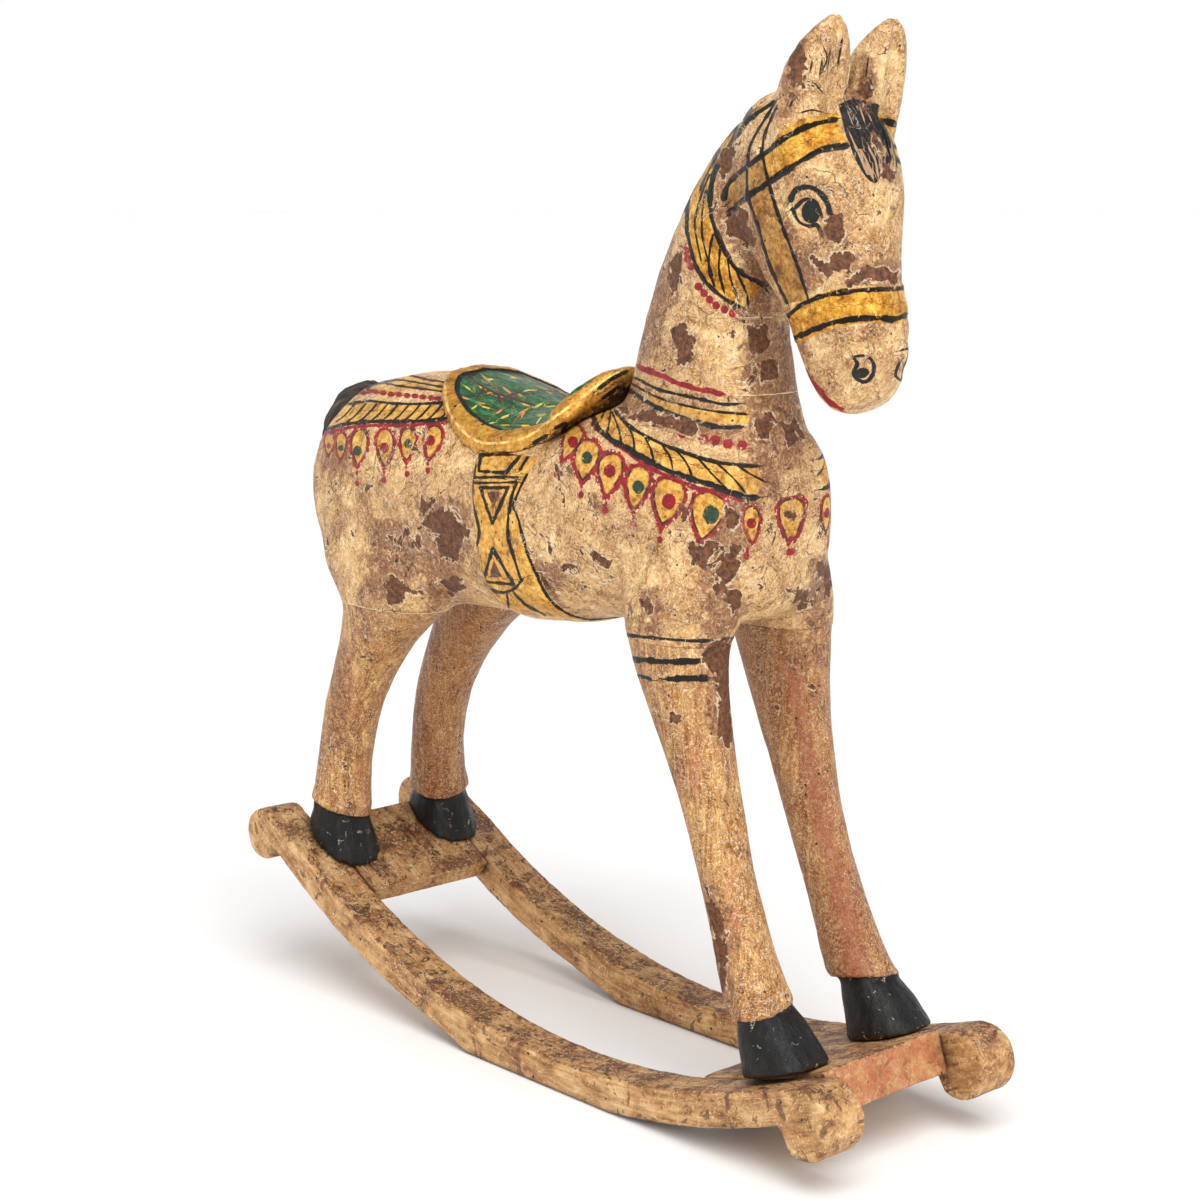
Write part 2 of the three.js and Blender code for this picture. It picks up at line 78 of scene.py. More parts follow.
def drawn(points):
    """Frame metres to millimetres of the drawing."""
    return (points - DRAWING_ORIGIN) * 1000


def framed(points):
    """Millimetres of the drawing to frame metres."""
    return np.asarray(points) / 1000 + DRAWING_ORIGIN


# Camera, lights and floor
def look_axes():
    forward = np.array([-math.sin(CAMERA_TURN) * math.cos(CAMERA_DIP),
                        math.cos(CAMERA_TURN) * math.cos(CAMERA_DIP), -math.sin(CAMERA_DIP)])
    right = np.array([math.cos(CAMERA_TURN), math.sin(CAMERA_TURN), 0])
    return forward, right, np.cross(right, forward)


def photo_pixels(points):
    """Where points of the drawing lie in the photograph."""
    forward, right, up = look_axes()
    ray = points - CAMERA_PLACE
    depth = ray @ forward
    across = PHOTO_MIDDLE + FOCAL_PIXELS * (ray @ right) / depth
    down = PHOTO_MIDDLE - FOCAL_PIXELS * (ray @ up) / depth
    return np.stack([across, down], 1)


def add_camera():
    data = bpy.data.cameras.new("photo_camera")
    data.lens = LENS
    data.sensor_width = 36
    camera = bpy.data.objects.new("photo_camera", data)
    camera.location = framed(CAMERA_PLACE)
    camera.rotation_euler = (math.pi / 2 - CAMERA_DIP, 0, CAMERA_TURN)
    bpy.context.scene.collection.objects.link(camera)
    bpy.context.scene.camera = camera


def add_area(name, place, target, size, power, colour=(1, 1, 1)):
    data = bpy.data.lights.new(name, "AREA")
    data.size = size
    data.energy = power
    data.color = colour
    light = bpy.data.objects.new(name, data)
    light.location = place
    aim = Vector(target) - Vector(place)
    light.rotation_euler = aim.to_track_quat("-Z", "Y").to_euler()
    bpy.context.scene.collection.objects.link(light)


def add_sky():
    """An even white wall all round at eye level, and a softer ceiling."""
    world = bpy.data.worlds.new("studio")
    bpy.context.scene.world = world
    world.use_nodes = True
    tree = world.node_tree
    direction = tree.nodes.new("ShaderNodeTexCoord").outputs["Generated"]
    split = tree.nodes.new("ShaderNodeSeparateXYZ")
    tree.links.new(direction, split.inputs["Vector"])
    fade = tree.nodes.new("ShaderNodeMapRange")
    for name, number in (("From Min", 0.2), ("From Max", 0.55), ("To Min", 1.0), ("To Max", 0.4)):
        fade.inputs[name].default_value = number
    tree.links.new(split.outputs["Z"], fade.inputs["Value"])
    tree.nodes["Background"].inputs["Color"].default_value = (1, 1, 1, 1)
    tree.links.new(fade.outputs["Result"], tree.nodes["Background"].inputs["Strength"])


def add_stage():
    add_sky()
    bpy.context.scene.view_settings.view_transform = "Standard"
    bpy.ops.mesh.primitive_plane_add(size=60)
    floor = bpy.context.object
    floor.name = "studio_floor"
    coat = bpy.data.materials.new("studio_white")
    coat.use_nodes = True
    shader = coat.node_tree.nodes["Principled BSDF"]
    shader.inputs["Base Color"].default_value = (0.92, 0.92, 0.92, 1)
    shader.inputs["Roughness"].default_value = 0.95
    floor.data.materials.append(coat)
    ceiling = bpy.data.lights.new("ceiling", "SUN")
    ceiling.energy = 2.1
    ceiling.angle = math.radians(50)
    lamp = bpy.data.objects.new("ceiling", ceiling)
    lamp.rotation_euler = Vector((-0.55, 0.3, -1.45)).to_track_quat("-Z", "Y").to_euler()
    bpy.context.scene.collection.objects.link(lamp)
    middle = (0, 0, 0.42)
    add_area("key", (-0.5, -2.2, 1.7), middle, 0.8, 7, (1.0, 0.98, 0.95))
    add_area("front", (2.4, -1.0, 1.3), middle, 0.9, 16, (1.0, 0.99, 0.97))


# Mesh tools
def new_object(name, mesh):
    piece = bpy.data.objects.new(name, mesh)
    bpy.context.scene.collection.objects.link(piece)
    return piece


def coordinates(mesh):
    values = np.empty(len(mesh.vertices) * 3, np.float32)
    mesh.vertices.foreach_get("co", values)
    return values.reshape(-1, 3).astype(float)


def normals(mesh):
    values = np.empty(len(mesh.vertices) * 3, np.float32)
    mesh.vertices.foreach_get("normal", values)
    return values.reshape(-1, 3).astype(float)


def set_coordinates(mesh, points):
    mesh.vertices.foreach_set("co", points.astype(np.float32).ravel())
    mesh.update()


def applied(piece):
    """Replaces a piece's mesh by what its modifiers make of it."""
    graph = bpy.context.evaluated_depsgraph_get()
    mesh = bpy.data.meshes.new_from_object(piece.evaluated_get(graph))
    piece.modifiers.clear()
    piece.vertex_groups.clear()
    piece.data = mesh
    return piece


def fused(name, nodes, voxel):
    """One even skin over several solids of the frame. voxel is in millimetres."""
    shell = bmesh.new()
    for node in nodes:
        shell.from_mesh(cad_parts[node].data)
    bmesh.ops.remove_doubles(shell, verts=shell.verts, dist=1e-6)
    mesh = bpy.data.meshes.new(name)
    shell.to_mesh(mesh)
    shell.free()
    mesh.materials.clear()
    piece = new_object(name, mesh)
    modifier = piece.modifiers.new("skin", "REMESH")
    modifier.mode = "VOXEL"
    modifier.voxel_size = voxel / 1000
    return applied(piece)


def smoothed(piece, rounds, strength=None):
    """Evens a skin out. strength gives each point's share, from 0 to 1."""
    modifier = piece.modifiers.new("even", "SMOOTH")
    modifier.factor = 0.5
    modifier.iterations = rounds
    if strength is not None:
        group = piece.vertex_groups.new(name="share")
        levels = np.round(np.clip(strength, 0, 1) * 20).astype(int)
        for level in range(21):
            chosen = np.flatnonzero(levels == level).tolist()
            if chosen:
                group.add(chosen, level / 20, "REPLACE")
        modifier.vertex_group = "share"
    return applied(piece)


def cut_pieces(piece, levels, classify, names):
    """Cuts a skin at level heights, and makes a closed mesh of the faces that go to each name."""
    shell = bmesh.new()
    shell.from_mesh(piece.data)
    for level in levels:
        place = framed([0, 0, level])
        bmesh.ops.bisect_plane(shell, geom=shell.verts[:] + shell.edges[:] + shell.faces[:],
                               plane_co=place, plane_no=(0, 0, 1), dist=1e-7)
    shell.to_mesh(piece.data)
    shell.free()
    mesh = piece.data
    centres = np.empty(len(mesh.polygons) * 3, np.float32)
    mesh.polygons.foreach_get("center", centres)
    labels = classify(drawn(centres.reshape(-1, 3).astype(float)))
    made = {}
    for number, name in enumerate(names):
        part = bmesh.new()
        part.from_mesh(mesh)
        part.faces.ensure_lookup_table()
        dropped = [part.faces[i] for i in np.flatnonzero(labels != number).tolist()]
        bmesh.ops.delete(part, geom=dropped, context="FACES")
        rims = [edge for edge in part.edges if edge.is_boundary]
        bmesh.ops.holes_fill(part, edges=rims, sides=0)
        bmesh.ops.triangulate(part, faces=[face for face in part.faces if len(face.verts) > 4])
        target = bpy.data.meshes.new(name)
        part.to_mesh(target)
        part.free()
        made[name] = new_object(name, target)
    bpy.data.objects.remove(piece)
    return made


def value_noise(points, cell, seed):
    """Smooth random values from -1 to 1, with the given cell size."""
    place = points / cell
    base = np.floor(place).astype(np.int64)
    part = place - base
    part = part * part * (3 - 2 * part)
    total = np.zeros(len(points))
    for corner in range(8):
        step = np.array([corner & 1, corner >> 1 & 1, corner >> 2 & 1])
        cells = base + step
        mixed = (cells[:, 0] * 73856093) ^ (cells[:, 1] * 19349663) ^ (cells[:, 2] * 83492791)
        mixed = (mixed ^ seed * 2654435761) & 0x7FFFFFFF
        mixed = (mixed ^ mixed >> 13) * 1274126177 & 0x7FFFFFFF
        level = ((mixed ^ mixed >> 16) & 0xFFFF) / 32767.5 - 1
        weight = np.prod(np.where(step == 1, part, 1 - part), axis=1)
        total += weight * level
    return total


def rough_noise(points, cell, seed, layers=3):
    total = np.zeros(len(points))
    for layer in range(layers):
        total += value_noise(points, cell / 2 ** layer, seed + layer) / 2 ** layer
    return total


def step(value, low, high):
    share = np.clip((value - low) / (high - low), 0, 1)
    return share * share * (3 - 2 * share)


# Painting
FAR = 40.0                        # an area's distance where it isn't painted
FAR_LINE = 200.0                  # the same for a line, in half widths
MARGIN = 14.0                     # pixels round a shape in which its distance is kept
NOWHERE = -1e4                    # a pixel that nothing is painted on


def pairs(numbers):
    """Points from a row of x, y, x, y."""
    return np.array(numbers, float).reshape(-1, 2)


def between(top, low):
    """The ring of a band between its two edges."""
    return np.vstack([pairs(top), pairs(low)[::-1]])


def curve(rows, spans=5):
    """A smooth run of points through the given ones."""
    padded = np.vstack([2 * rows[0] - rows[1], rows, 2 * rows[-1] - rows[-2]])
    out = []
    for i in range(len(rows) - 1):
        a, b, c, d = padded[i:i + 4]
        for k in range(spans):
            t = k / spans
            out.append(0.5 * (2 * b + (c - a) * t + (2 * a - 5 * b + 4 * c - d) * t ** 2
                              + (3 * b - a - 3 * c + d) * t ** 3))
    out.append(rows[-1])
    return np.array(out)


def run_distance(spots, run):
    """Distance to a run of points, negative on its one side and positive on its other."""
    best = np.full(len(spots), 1e9)
    sides = np.ones(len(spots))
    steps = np.diff(run, axis=0)
    bends = np.vstack([steps[:1], steps[:-1] + steps[1:], steps[-1:]])
    for number, along in enumerate(steps):
        offset = spots - run[number]
        share = offset @ along / max(along @ along, 1e-9)
        held = np.clip(share, 0, 1)
        far = np.hypot(*(offset - held[:, None] * along).T)
        before, after = share <= 0, share >= 1
        line = np.where(before[:, None], bends[number], np.where(after[:, None], bends[number + 1], along))
        from_point = np.where(after[:, None], offset - along, offset)
        side = line[:, 0] * from_point[:, 1] - line[:, 1] * from_point[:, 0]
        nearer = far < best
        best[nearer] = far[nearer]
        sides[nearer] = np.where(side[nearer] < 0, -1, 1)
    return best * sides


def area_distance(spots, ring):
    closed = np.vstack([ring, ring[:1]])
    inside = np.zeros(len(spots), bool)
    for a, b in zip(closed[:-1], closed[1:]):
        crosses = (a[1] > spots[:, 1]) != (b[1] > spots[:, 1])
        rise = b[1] - a[1] if b[1] != a[1] else 1e-9
        inside ^= crosses & (spots[:, 0] < (b[0] - a[0]) * (spots[:, 1] - a[1]) / rise + a[0])
    distance = np.abs(run_distance(spots, closed))
    return np.where(inside, -distance, distance)


class Paint:
    """The painted layers of one piece, over the pixels of its points.

    An area holds the distance to its edge in pixels, negative inside. A line holds the distance to
    its middle as a share of its half width, with a sign for its two sides, so that it stays crisp.
    """

    def __init__(self, piece, round_the_back=True):
        self.mesh = piece.data
        self.points = drawn(coordinates(self.mesh))
        flip = np.where(self.points[:, 1:2] > 0, np.array([1, -1, 1]), 1)
        self.spots = photo_pixels(self.points * flip)
        if not round_the_back:
            turned = (normals(self.mesh) * flip) @ look_axes()[0] > 0.3
            self.spots[turned] = NOWHERE
        straight = photo_pixels(self.points)
        facing = normals(self.mesh) @ look_axes()[0] < 0.1
        self.seen = np.where(facing[:, None], straight, self.spots)
        self.only_seen = np.where(facing[:, None], straight, NOWHERE)
        self.layers = {}

    def put(self, layer, distance, chosen=slice(None)):
        values = self.layers.setdefault(layer, np.full(len(self.points), FAR))
        values[chosen] = np.minimum(values[chosen], distance)

    def put_line(self, layer, distance, chosen=slice(None)):
        values = self.layers.setdefault(layer, np.full(len(self.points), FAR_LINE))
        values[chosen] = np.where(np.abs(distance) < np.abs(values[chosen]), distance, values[chosen])

    def near_to(self, ring, spots):
        low, high = ring.min(0) - MARGIN, ring.max(0) + MARGIN
        return np.flatnonzero(np.all((spots > low) & (spots < high), axis=1))

    def line(self, layer, points, width, spots=None, smooth=True):
        spots = self.spots if spots is None else spots
        run = pairs(points)
        if smooth and len(run) > 2:
            run = curve(run)
        chosen = self.near_to(run, spots)
        if len(chosen):
            self.put_line(layer, run_distance(spots[chosen], run) / (width / 2), chosen)

    def ring(self, layer, points, width):
        """A line all round an area."""
        ring = pairs(points)
        chosen = self.near_to(ring, self.spots)
        if len(chosen):
            self.put_line(layer, area_distance(self.spots[chosen], ring) / (width / 2), chosen)

    def area(self, layer, points, smooth=False, spots=None):
        spots = self.spots if spots is None else spots
        ring = pairs(points)
        if smooth:
            ring = curve(np.vstack([ring, ring[:1]]))[:-1]
        chosen = self.near_to(ring, spots)
        if len(chosen):
            self.put(layer, area_distance(spots[chosen], ring), chosen)

    def dot(self, layer, place, wide, tall=None):
        tall = wide if tall is None else tall
        centre = np.array(place, float)
        chosen = self.near_to(np.array([centre - [wide, tall], centre + [wide, tall]]), self.spots)
        if len(chosen):
            scaled = (self.spots[chosen] - centre) / [wide, tall]
            self.put(layer, (np.sum(scaled ** 2, axis=1) - 1) * min(wide, tall) / 2, chosen)

    def level(self, layer, height, width, chosen=slice(None)):
        """A level line at a height of the drawing, with its width in millimetres."""
        self.put_line(layer, (self.points[chosen, 2] - height) / (width / 2), chosen)

    def store(self):
        for names, unpainted in ((AREAS, FAR), (LINES, FAR_LINE)):
            for name in names:
                values = self.layers.get(name, np.full(len(self.points), unpainted))
                attribute = self.mesh.attributes.new(name, "FLOAT", "POINT")
                attribute.data.foreach_set("value", values.astype(np.float32))


AREAS = ("gold", "black", "red_dot", "green_dot", "drop", "bare", "blush", "field", "worn", "umber", "tan")
LINES = ("ink_a", "ink_b", "ink_c", "red_line", "gilt", "pale_line", "seam")


def drop_ring(top, tip, width):
    """Outline of a drop with a round top and a pointed tip."""
    top, tip = np.array(top, float), np.array(tip, float)
    middle, reach = (top + tip) / 2, (tip - top) / 2
    side = np.array([-reach[1], reach[0]]) / np.hypot(*reach)
    turns = np.linspace(0, 2 * math.pi, 25)[:-1]
    widest = 0.77                 # of the curve below, for a half width of one
    across = np.sin(turns) * np.sin(turns / 2) / widest * width / 2
    return middle + np.cos(turns)[:, None] * reach + across[:, None] * side


def teardrop(paint, top, tip, width, eye, eye_colour, droplets, worn=0.0):
    """A painted drop with an eye and droplets under its tip."""
    ring = drop_ring(top, tip, width)
    chosen = paint.near_to(ring, paint.spots)
    if not len(chosen):
        return
    slender = max(1.0, 30 / width)
    paint.put("drop", area_distance(paint.spots[chosen], ring) * slender + worn, chosen)
    paint.dot(eye_colour, eye[:2], eye[2], eye[2] * 1.12)
    for place, size in droplets:
        paint.dot("red_dot", place, size, size * 1.3)


# Ornament of the near side, in pixels of the photograph. A run of points is written x, y, x, y and so on.
COLLAR_TOP = [611, 396, 615, 410, 628, 425, 642, 434, 660, 443, 685, 453, 712, 461, 739, 465, 757, 466]
COLLAR_LOW = [
    592, 410, 596, 425, 608, 437, 631, 451, 660, 467, 685, 477, 712, 485, 730, 492, 746, 497, 756, 497]
COLLAR_END = [763, 481]
COLLAR_STROKES = [
    [611, 398, 602, 417], [611, 406, 609, 424, 606, 434], [612, 412, 618, 427, 621, 441],
    [628, 426, 633, 437, 635, 452], [645, 437, 651, 450, 654, 463], [662, 445, 670, 457, 673, 471],
    [678, 452, 687, 464, 693, 479], [699, 459, 712, 474, 728, 490], [718, 464, 734, 479, 747, 495],
    [738, 466, 752, 475, 764, 481]]
COLLAR_RED = [594, 426, 606, 437, 619, 446, 653, 469, 685, 484, 721, 494, 741, 500]
COLLAR_DOTS = [682.3, 433, 703.8, 439, 715, 440.4, 728, 443.9, 742, 445.2]
RING_LOW = [631, 391, 646, 401, 667, 412, 694, 421, 717, 427, 740, 427]
RING_MIDDLE = [634, 385, 652, 395, 671, 402, 696, 408, 720, 412, 745, 414]
RING_TOP = [636, 378, 655, 388, 676, 394, 700, 399, 722, 404, 738, 404]
RING_GOLD = [
    640, 386, 660, 397, 690, 407, 720, 412, 749, 411, 749, 423, 720, 424, 695, 419, 668, 410, 648, 400]
RING_SMEAR = [640, 367, 655, 373, 664, 377, 680, 384, 690, 387, 700, 390, 709, 391, 720, 394]
DROPS = [
    # top, tip, width, eye (place and radius), its layer, droplets (place and radius), wear
    [(579, 422), (561, 466), 25, (573, 442, 5.4), "red_dot", [((556.7, 466), 2.0), ((556, 474), 2.8)], 0.6],
    [(590, 437), (581, 487), 32, (586.8, 457.7, 5.6), "green_dot",
     [((581.8, 487), 1.8), ((581, 494.5), 3.0)], 0],
    [(613, 450), (605.5, 501), 32, (609.6, 471, 6.0), "red_dot",
     [((605.9, 503), 1.9), ((605.2, 510.4), 3.1)], 0],
    [(641, 463), (632.5, 516), 30, (638.3, 487, 6.0), "green_dot",
     [((633.2, 517), 1.9), ((633, 524.3), 3.1)], 0],
    [(673, 475), (661, 531), 38, (668.9, 501.4, 7.2), "red_dot",
     [((660.5, 532), 2.0), ((659.7, 539.3), 3.1)], 0],
    [(713, 489), (700, 546), 41, (711, 514.8, 8.4), "green_dot", [((697, 548), 2.2)], 0],
    [(751, 503), (753, 548), 22, (751.6, 523.4, 5.0), "red_dot",
     [((747.5, 549), 2.0), ((746.3, 556), 3.2)], 0.5],
    [(788.5, 495), (788.5, 547), 28, (788.6, 515, 3.2), "bare", [((788.5, 552.3), 3.0)], 0.8],
    [(361, 427), (356.5, 471), 22, (357.3, 450.8, 4.6), "green_dot",
     [((357, 473), 1.8), ((357.3, 483.5), 2.6)], 0.2],
    [(386, 427), (384, 472), 22, (384.3, 447.8, 4.8), "red_dot",
     [((383.9, 472), 1.8), ((383.9, 480), 2.7)], 0],
    [(409, 426), (406, 466), 20, (408.2, 443.7, 4.2), "green_dot",
     [((406.3, 467), 1.8), ((407, 474), 2.5)], 0],
    [(437, 423), (427.5, 463), 22, (430.2, 440.6, 5.0), "red_dot",
     [((427.8, 464), 1.8), ((427.8, 470.6), 2.7)], 0],
    [(330, 430), (328, 462), 14, (329, 446, 2.6), "red_dot", [], 1.8],
    [(342, 430), (340, 466), 16, (341, 448, 3.0), "green_dot", [], 1.5],
]
RUMP_ROPE_TOP = [330, 412, 340, 406, 351, 403.5, 369, 401, 389, 403, 412, 404, 446, 402.4]
RUMP_ROPE_LOW = [322, 430, 340, 425.3, 361, 422.2, 391, 421.2, 418, 421.2, 446, 418.6]
RUMP_RED = [323, 434, 342, 429, 361, 426, 391, 425, 418, 424.6, 446, 422]
RUMP_DOTS = [
    351, 393.5, 357, 392.6, 363, 392.3, 370, 391.6, 375.5, 391.5, 383, 392.7, 391, 394, 399, 394.6, 407,
    395.4, 415, 396, 423, 397, 431, 397.8, 438, 398.6]
RUMP_BAND = [366, 386, 392, 377, 412, 376, 430, 380, 456, 384, 456, 393, 430, 391, 400, 389, 376, 390]
RUMP_BAND_LINES = [
    [366, 389, 380, 383, 400, 386, 424, 389, 454, 393], [384, 382, 400, 380, 420, 383, 454, 389],
    [408, 374.5, 424, 379, 440, 381.5, 463, 384]]
DRIP = [412, 374, 398, 385, 384, 396, 368, 413, 359, 428, 357, 440]

GIRTH_LINES = [
    # layer, points, width
    ('ink_a', [475.5, 451, 475, 473], 2.6), ('ink_a', [533, 448, 520, 470], 2.6),
    ('ink_a', [470, 477.5, 516, 477], 3.0), ('ink_b', [471, 483.2, 516, 482.2], 2.6),
    ('ink_a', [471.5, 484, 473, 505, 479.2, 531.4, 474, 555, 470.6, 576.3, 478, 584], 3.4),
    ('ink_a', [516, 483, 510, 505, 507.8, 533.5, 514, 558, 521, 580], 3.4),
    ('ink_a', [483.3, 586, 494, 591, 503.7, 592.4, 514, 589, 522, 580.4], 3.2),
    ('ink_b', [487, 592, 494, 603, 505, 611, 514, 614], 3.0), ('ink_b', [507, 594, 509, 612], 2.6),
    ('ink_b', [513, 592, 526, 605, 545, 615], 3.0)]
GIRTH_RINGS = [
    ('ink_b', [480.5, 455, 521, 454, 506, 473, 478.6, 471]),
    ('ink_c', [480.2, 487.5, 507.8, 487.5, 492.4, 524]),
    ('ink_c', [492.4, 548.5, 514, 584.5, 483.3, 581.5])]
# The girth's gilt front edge, painted brighter as a highlight
GIRTH_EDGE_HIGHLIGHT = [523, 476, 520, 500, 519.5, 525, 525, 556, 534, 580, 549, 600]
GIRTH_CORES = [[486.5, 491.8, 501, 491.8, 493.1, 508.6], [493.5, 559, 502.3, 577, 489.6, 577.8]]
PIXELS_PER_MILLIMETRE = 1.25      # of the photograph, on the flank
GIRTH_SIDE = [-114, 470, -46, 470, -60, 435, -53, 424, -40, 385, -38, 320, -104, 320, -101, 380, -104, 425]
TORSO_BARE = [
    [700, 648, 716, 642, 731, 640, 731, 662, 730, 745, 722, 741, 716, 720, 719, 700, 712, 672],
    [666, 710, 677, 715, 684, 724, 672, 722],
    [705, 885, 713, 900, 724, 915, 725, 940, 728, 972, 722, 990, 714, 950, 707, 915],
    [423, 521, 434, 511, 444, 505, 452, 511, 463, 523, 471, 531, 463, 538, 461, 552, 451, 561, 436, 550,
     437, 535, 430, 533],
    [387, 535, 400, 540, 409, 525, 411, 532, 403, 541, 394, 544], [416, 531, 421, 537, 418, 544],
    [410, 541, 415, 547, 411, 550],
    [385, 584, 391, 578, 408, 586, 426, 590, 422, 597, 406, 592, 399, 603, 389, 602],
    [439, 581, 456, 579, 467, 590, 452, 594], [538, 574, 546, 580, 551, 600, 543, 611, 538, 598],
    [541, 556, 545, 566, 541, 574], [754, 418, 770, 414, 776, 428, 768, 444, 756, 440],
    [780, 424, 796, 420, 802, 440, 788, 444], [681, 505, 688, 509, 688, 521, 680, 523],
    [681, 534, 692, 537, 696, 546, 713, 543, 715, 555, 706, 566, 695, 560, 685, 553],
    [730, 546, 740, 550, 739, 576, 726, 591, 716, 591, 717, 573, 720, 558],
    [727, 508, 735, 512, 736, 526, 728, 530], [722, 600, 728, 590, 738, 590, 741, 606, 733, 612],
    [633, 414, 646, 410, 660, 416, 674, 416, 685, 421, 699, 426, 699, 439, 685, 433, 676, 432, 660, 425,
     639, 423],
    [790, 592, 806, 588, 812, 600, 800, 606], [820, 566, 832, 560, 832, 590, 824, 596],
    [617, 406, 628, 410, 640, 421, 630, 420], [556, 467, 562, 474, 557, 482],
    [646, 590, 653, 600, 650, 612, 643, 606], [366, 481, 373, 485, 371, 493, 367, 490]]

# Zones where the cream is rubbed down to a brown undercoat
WORN = [
    [736, 266, 758, 270, 774, 300, 790, 345, 799, 400, 799, 432, 776, 474, 757, 452, 752, 412, 742, 372,
     738, 320],
    [742, 318, 786, 318, 800, 330, 802, 400, 806, 440, 800, 470, 778, 480, 770, 500, 748, 500, 735, 480,
     752, 440, 748, 400, 742, 360],
    [700, 560, 716, 520, 730, 500, 752, 480, 762, 500, 747, 540, 737, 580, 744, 610, 725, 640, 700, 650,
     705, 600],
    [810, 560, 832, 556, 834, 620, 815, 640, 806, 610],
    [630, 380, 660, 396, 700, 410, 740, 430, 740, 450, 700, 442, 660, 428, 630, 412, 616, 396],
    [652, 236, 670, 240, 676, 280, 664, 330, 652, 360, 634, 362, 640, 320],
    [320, 420, 345, 430, 350, 462, 340, 482, 322, 470],
    [420, 500, 468, 500, 470, 560, 452, 600, 430, 600, 415, 560],
    [370, 520, 410, 520, 418, 560, 398, 600, 372, 596, 362, 560], [534, 560, 560, 560, 562, 612, 542, 612],
    [604, 392, 632, 384, 644, 410, 625, 415, 604, 406], [640, 588, 664, 590, 668, 640, 645, 640],
    [590, 500, 600, 496, 604, 510, 594, 512], [716, 150, 745, 138, 747, 168, 736, 200, 722, 214, 714, 188],
    [724, 208, 757, 210, 768, 250, 773, 286, 752, 282, 734, 255],
    [798, 242, 814, 244, 820, 282, 806, 284, 799, 262], [846, 262, 902, 262, 905, 284, 850, 288],
    [776, 214, 798, 238, 813, 285, 802, 292, 788, 250],
    [800, 20, 813, 12, 807, 45, 799, 80, 793, 112, 780, 114, 782, 80, 790, 45],
    [848, 98, 862, 58, 876, 48, 875, 80, 868, 108], [700, 700, 722, 690, 730, 745, 716, 730],
    [706, 880, 730, 900, 736, 1000, 722, 1010, 712, 950], [780, 640, 832, 636, 830, 668, 786, 668],
    [330, 640, 350, 650, 345, 740, 330, 760], [412, 700, 424, 690, 424, 780, 414, 790]]

THROAT_FROM = 738                 # the glue lines show pale from here to the front
BROWBAND_TOP = [724, 198, 729, 183, 747, 167, 765, 153.7, 785, 138, 809, 125.8, 836, 119.5]
BROWBAND_LOW = [729, 214, 747, 197, 765, 185, 785, 171.5, 809, 156, 829.5, 148, 847, 146]
BROWBAND_RIM = [778, 133.6, 800, 119, 837, 112.5, 842, 118, 809, 127, 785, 140, 770, 150]
CHEEK_BACK = [747, 168, 747, 185, 749, 200.5, 758, 227, 771.5, 270, 787, 303]
CHEEK_FRONT = [761.5, 151.4, 768, 180, 778, 214, 791.6, 250, 801, 276, 808.5, 300]
CHEEK_TOP_BACK = [747, 167, 751.5, 142.5, 773.8, 104.6]
CHEEK_TOP_FRONT = [762, 152, 765, 134, 776, 108]
PANEL_IN = [
    774, 102, 750, 119, 736, 136, 718, 165, 711, 185, 711, 214, 718, 236, 729, 259, 740, 272, 763, 285]
PANEL_OUT = [
    751.5, 109, 725, 138, 696, 180, 688, 205, 687, 227, 693.5, 259, 704.6, 281, 725, 299, 742.5, 308]
PANEL_STRANDS = [
    [709, 175, 698, 205, 695, 228, 701, 260], [706, 190, 702, 215, 703, 240, 712, 275],
    [713, 235, 710, 248, 709, 270, 714, 285], [720, 250, 719, 270, 724, 292],
    [728, 262, 731, 280, 738, 300], [738, 275, 746, 292, 748, 304], [720, 150, 706, 176, 700, 190]]
PANEL_DOTS = [
    685.7, 250.8, 688, 258.6, 691.3, 266.4, 698.4, 286.5, 704, 293.2, 709.5, 299.4, 716.2, 305.4, 724.7,
    309.5, 732.5, 313.3]
NOSEBAND_TOP = [788, 315.5, 805, 303, 829.5, 294.3, 863, 290, 903, 289.4]
NOSEBAND_LOW = [795, 338, 818, 328, 840.6, 321, 874, 317.7, 907, 321.5]
NOSEBAND_GOLD = [
    788, 311, 805, 299, 829, 290, 863, 285.5, 910, 285, 912, 326, 874, 322, 841, 326, 818, 334, 795, 346]
BROW = [790.5, 199.4, 796, 190.5, 808, 187, 818.3, 191.6, 827, 203, 830.6, 216.2]
UPPER_LID = [791.6, 209.5, 797, 206, 803, 200.5, 811, 199, 818, 205, 822, 217]
LOWER_LID = [793, 209, 794.6, 215, 800.5, 223, 809.4, 226.2, 817, 225, 822, 235]
PUPIL = ((811, 211.8), 9.6, 11.8)
NOSTRIL = [
    855, 356.5, 865, 355.7, 873, 362, 873.5, 373, 867, 381, 860, 381, 853.5, 374, 857.3, 364, 853, 358]
NOSTRIL_CORE = ((862, 373), 7.0, 5.4)
FAR_NOSTRIL = [
    902, 359, 897.5, 366, 895.5, 375, 900.5, 380, 906, 378, 911, 370, 913, 357, 909, 349, 902, 350]
MOUTH = [801, 364, 805, 371, 816, 386, 829.5, 401.4, 842, 410]
FORELOCK = [
    838.4, 104.6, 852, 99, 865, 102.3, 874, 120, 885, 140, 887.4, 154, 883, 169, 876, 183, 865, 176, 854,
    156, 845, 131]
FORELOCK_STREAKS = [
    ([855, 146, 862, 160, 867, 173], 2.4), ([861, 150, 868, 164, 873, 178], 2.6),
    ([869, 148, 875, 160, 878, 175], 2.6), ([877, 152, 881, 160, 881, 170], 2.2),
    ([850, 134, 857, 150, 862, 162], 1.4), ([848, 112, 852, 122], 1.2), ([860, 108, 864, 120], 1.2)]
FAR_BAND = [880, 118, 893, 118, 902, 126, 908, 160, 905, 168, 890, 156, 884, 142]
FAR_BAND_LINES = [[880, 121, 892, 122, 903, 130], [889, 154, 898, 160, 908, 168]]
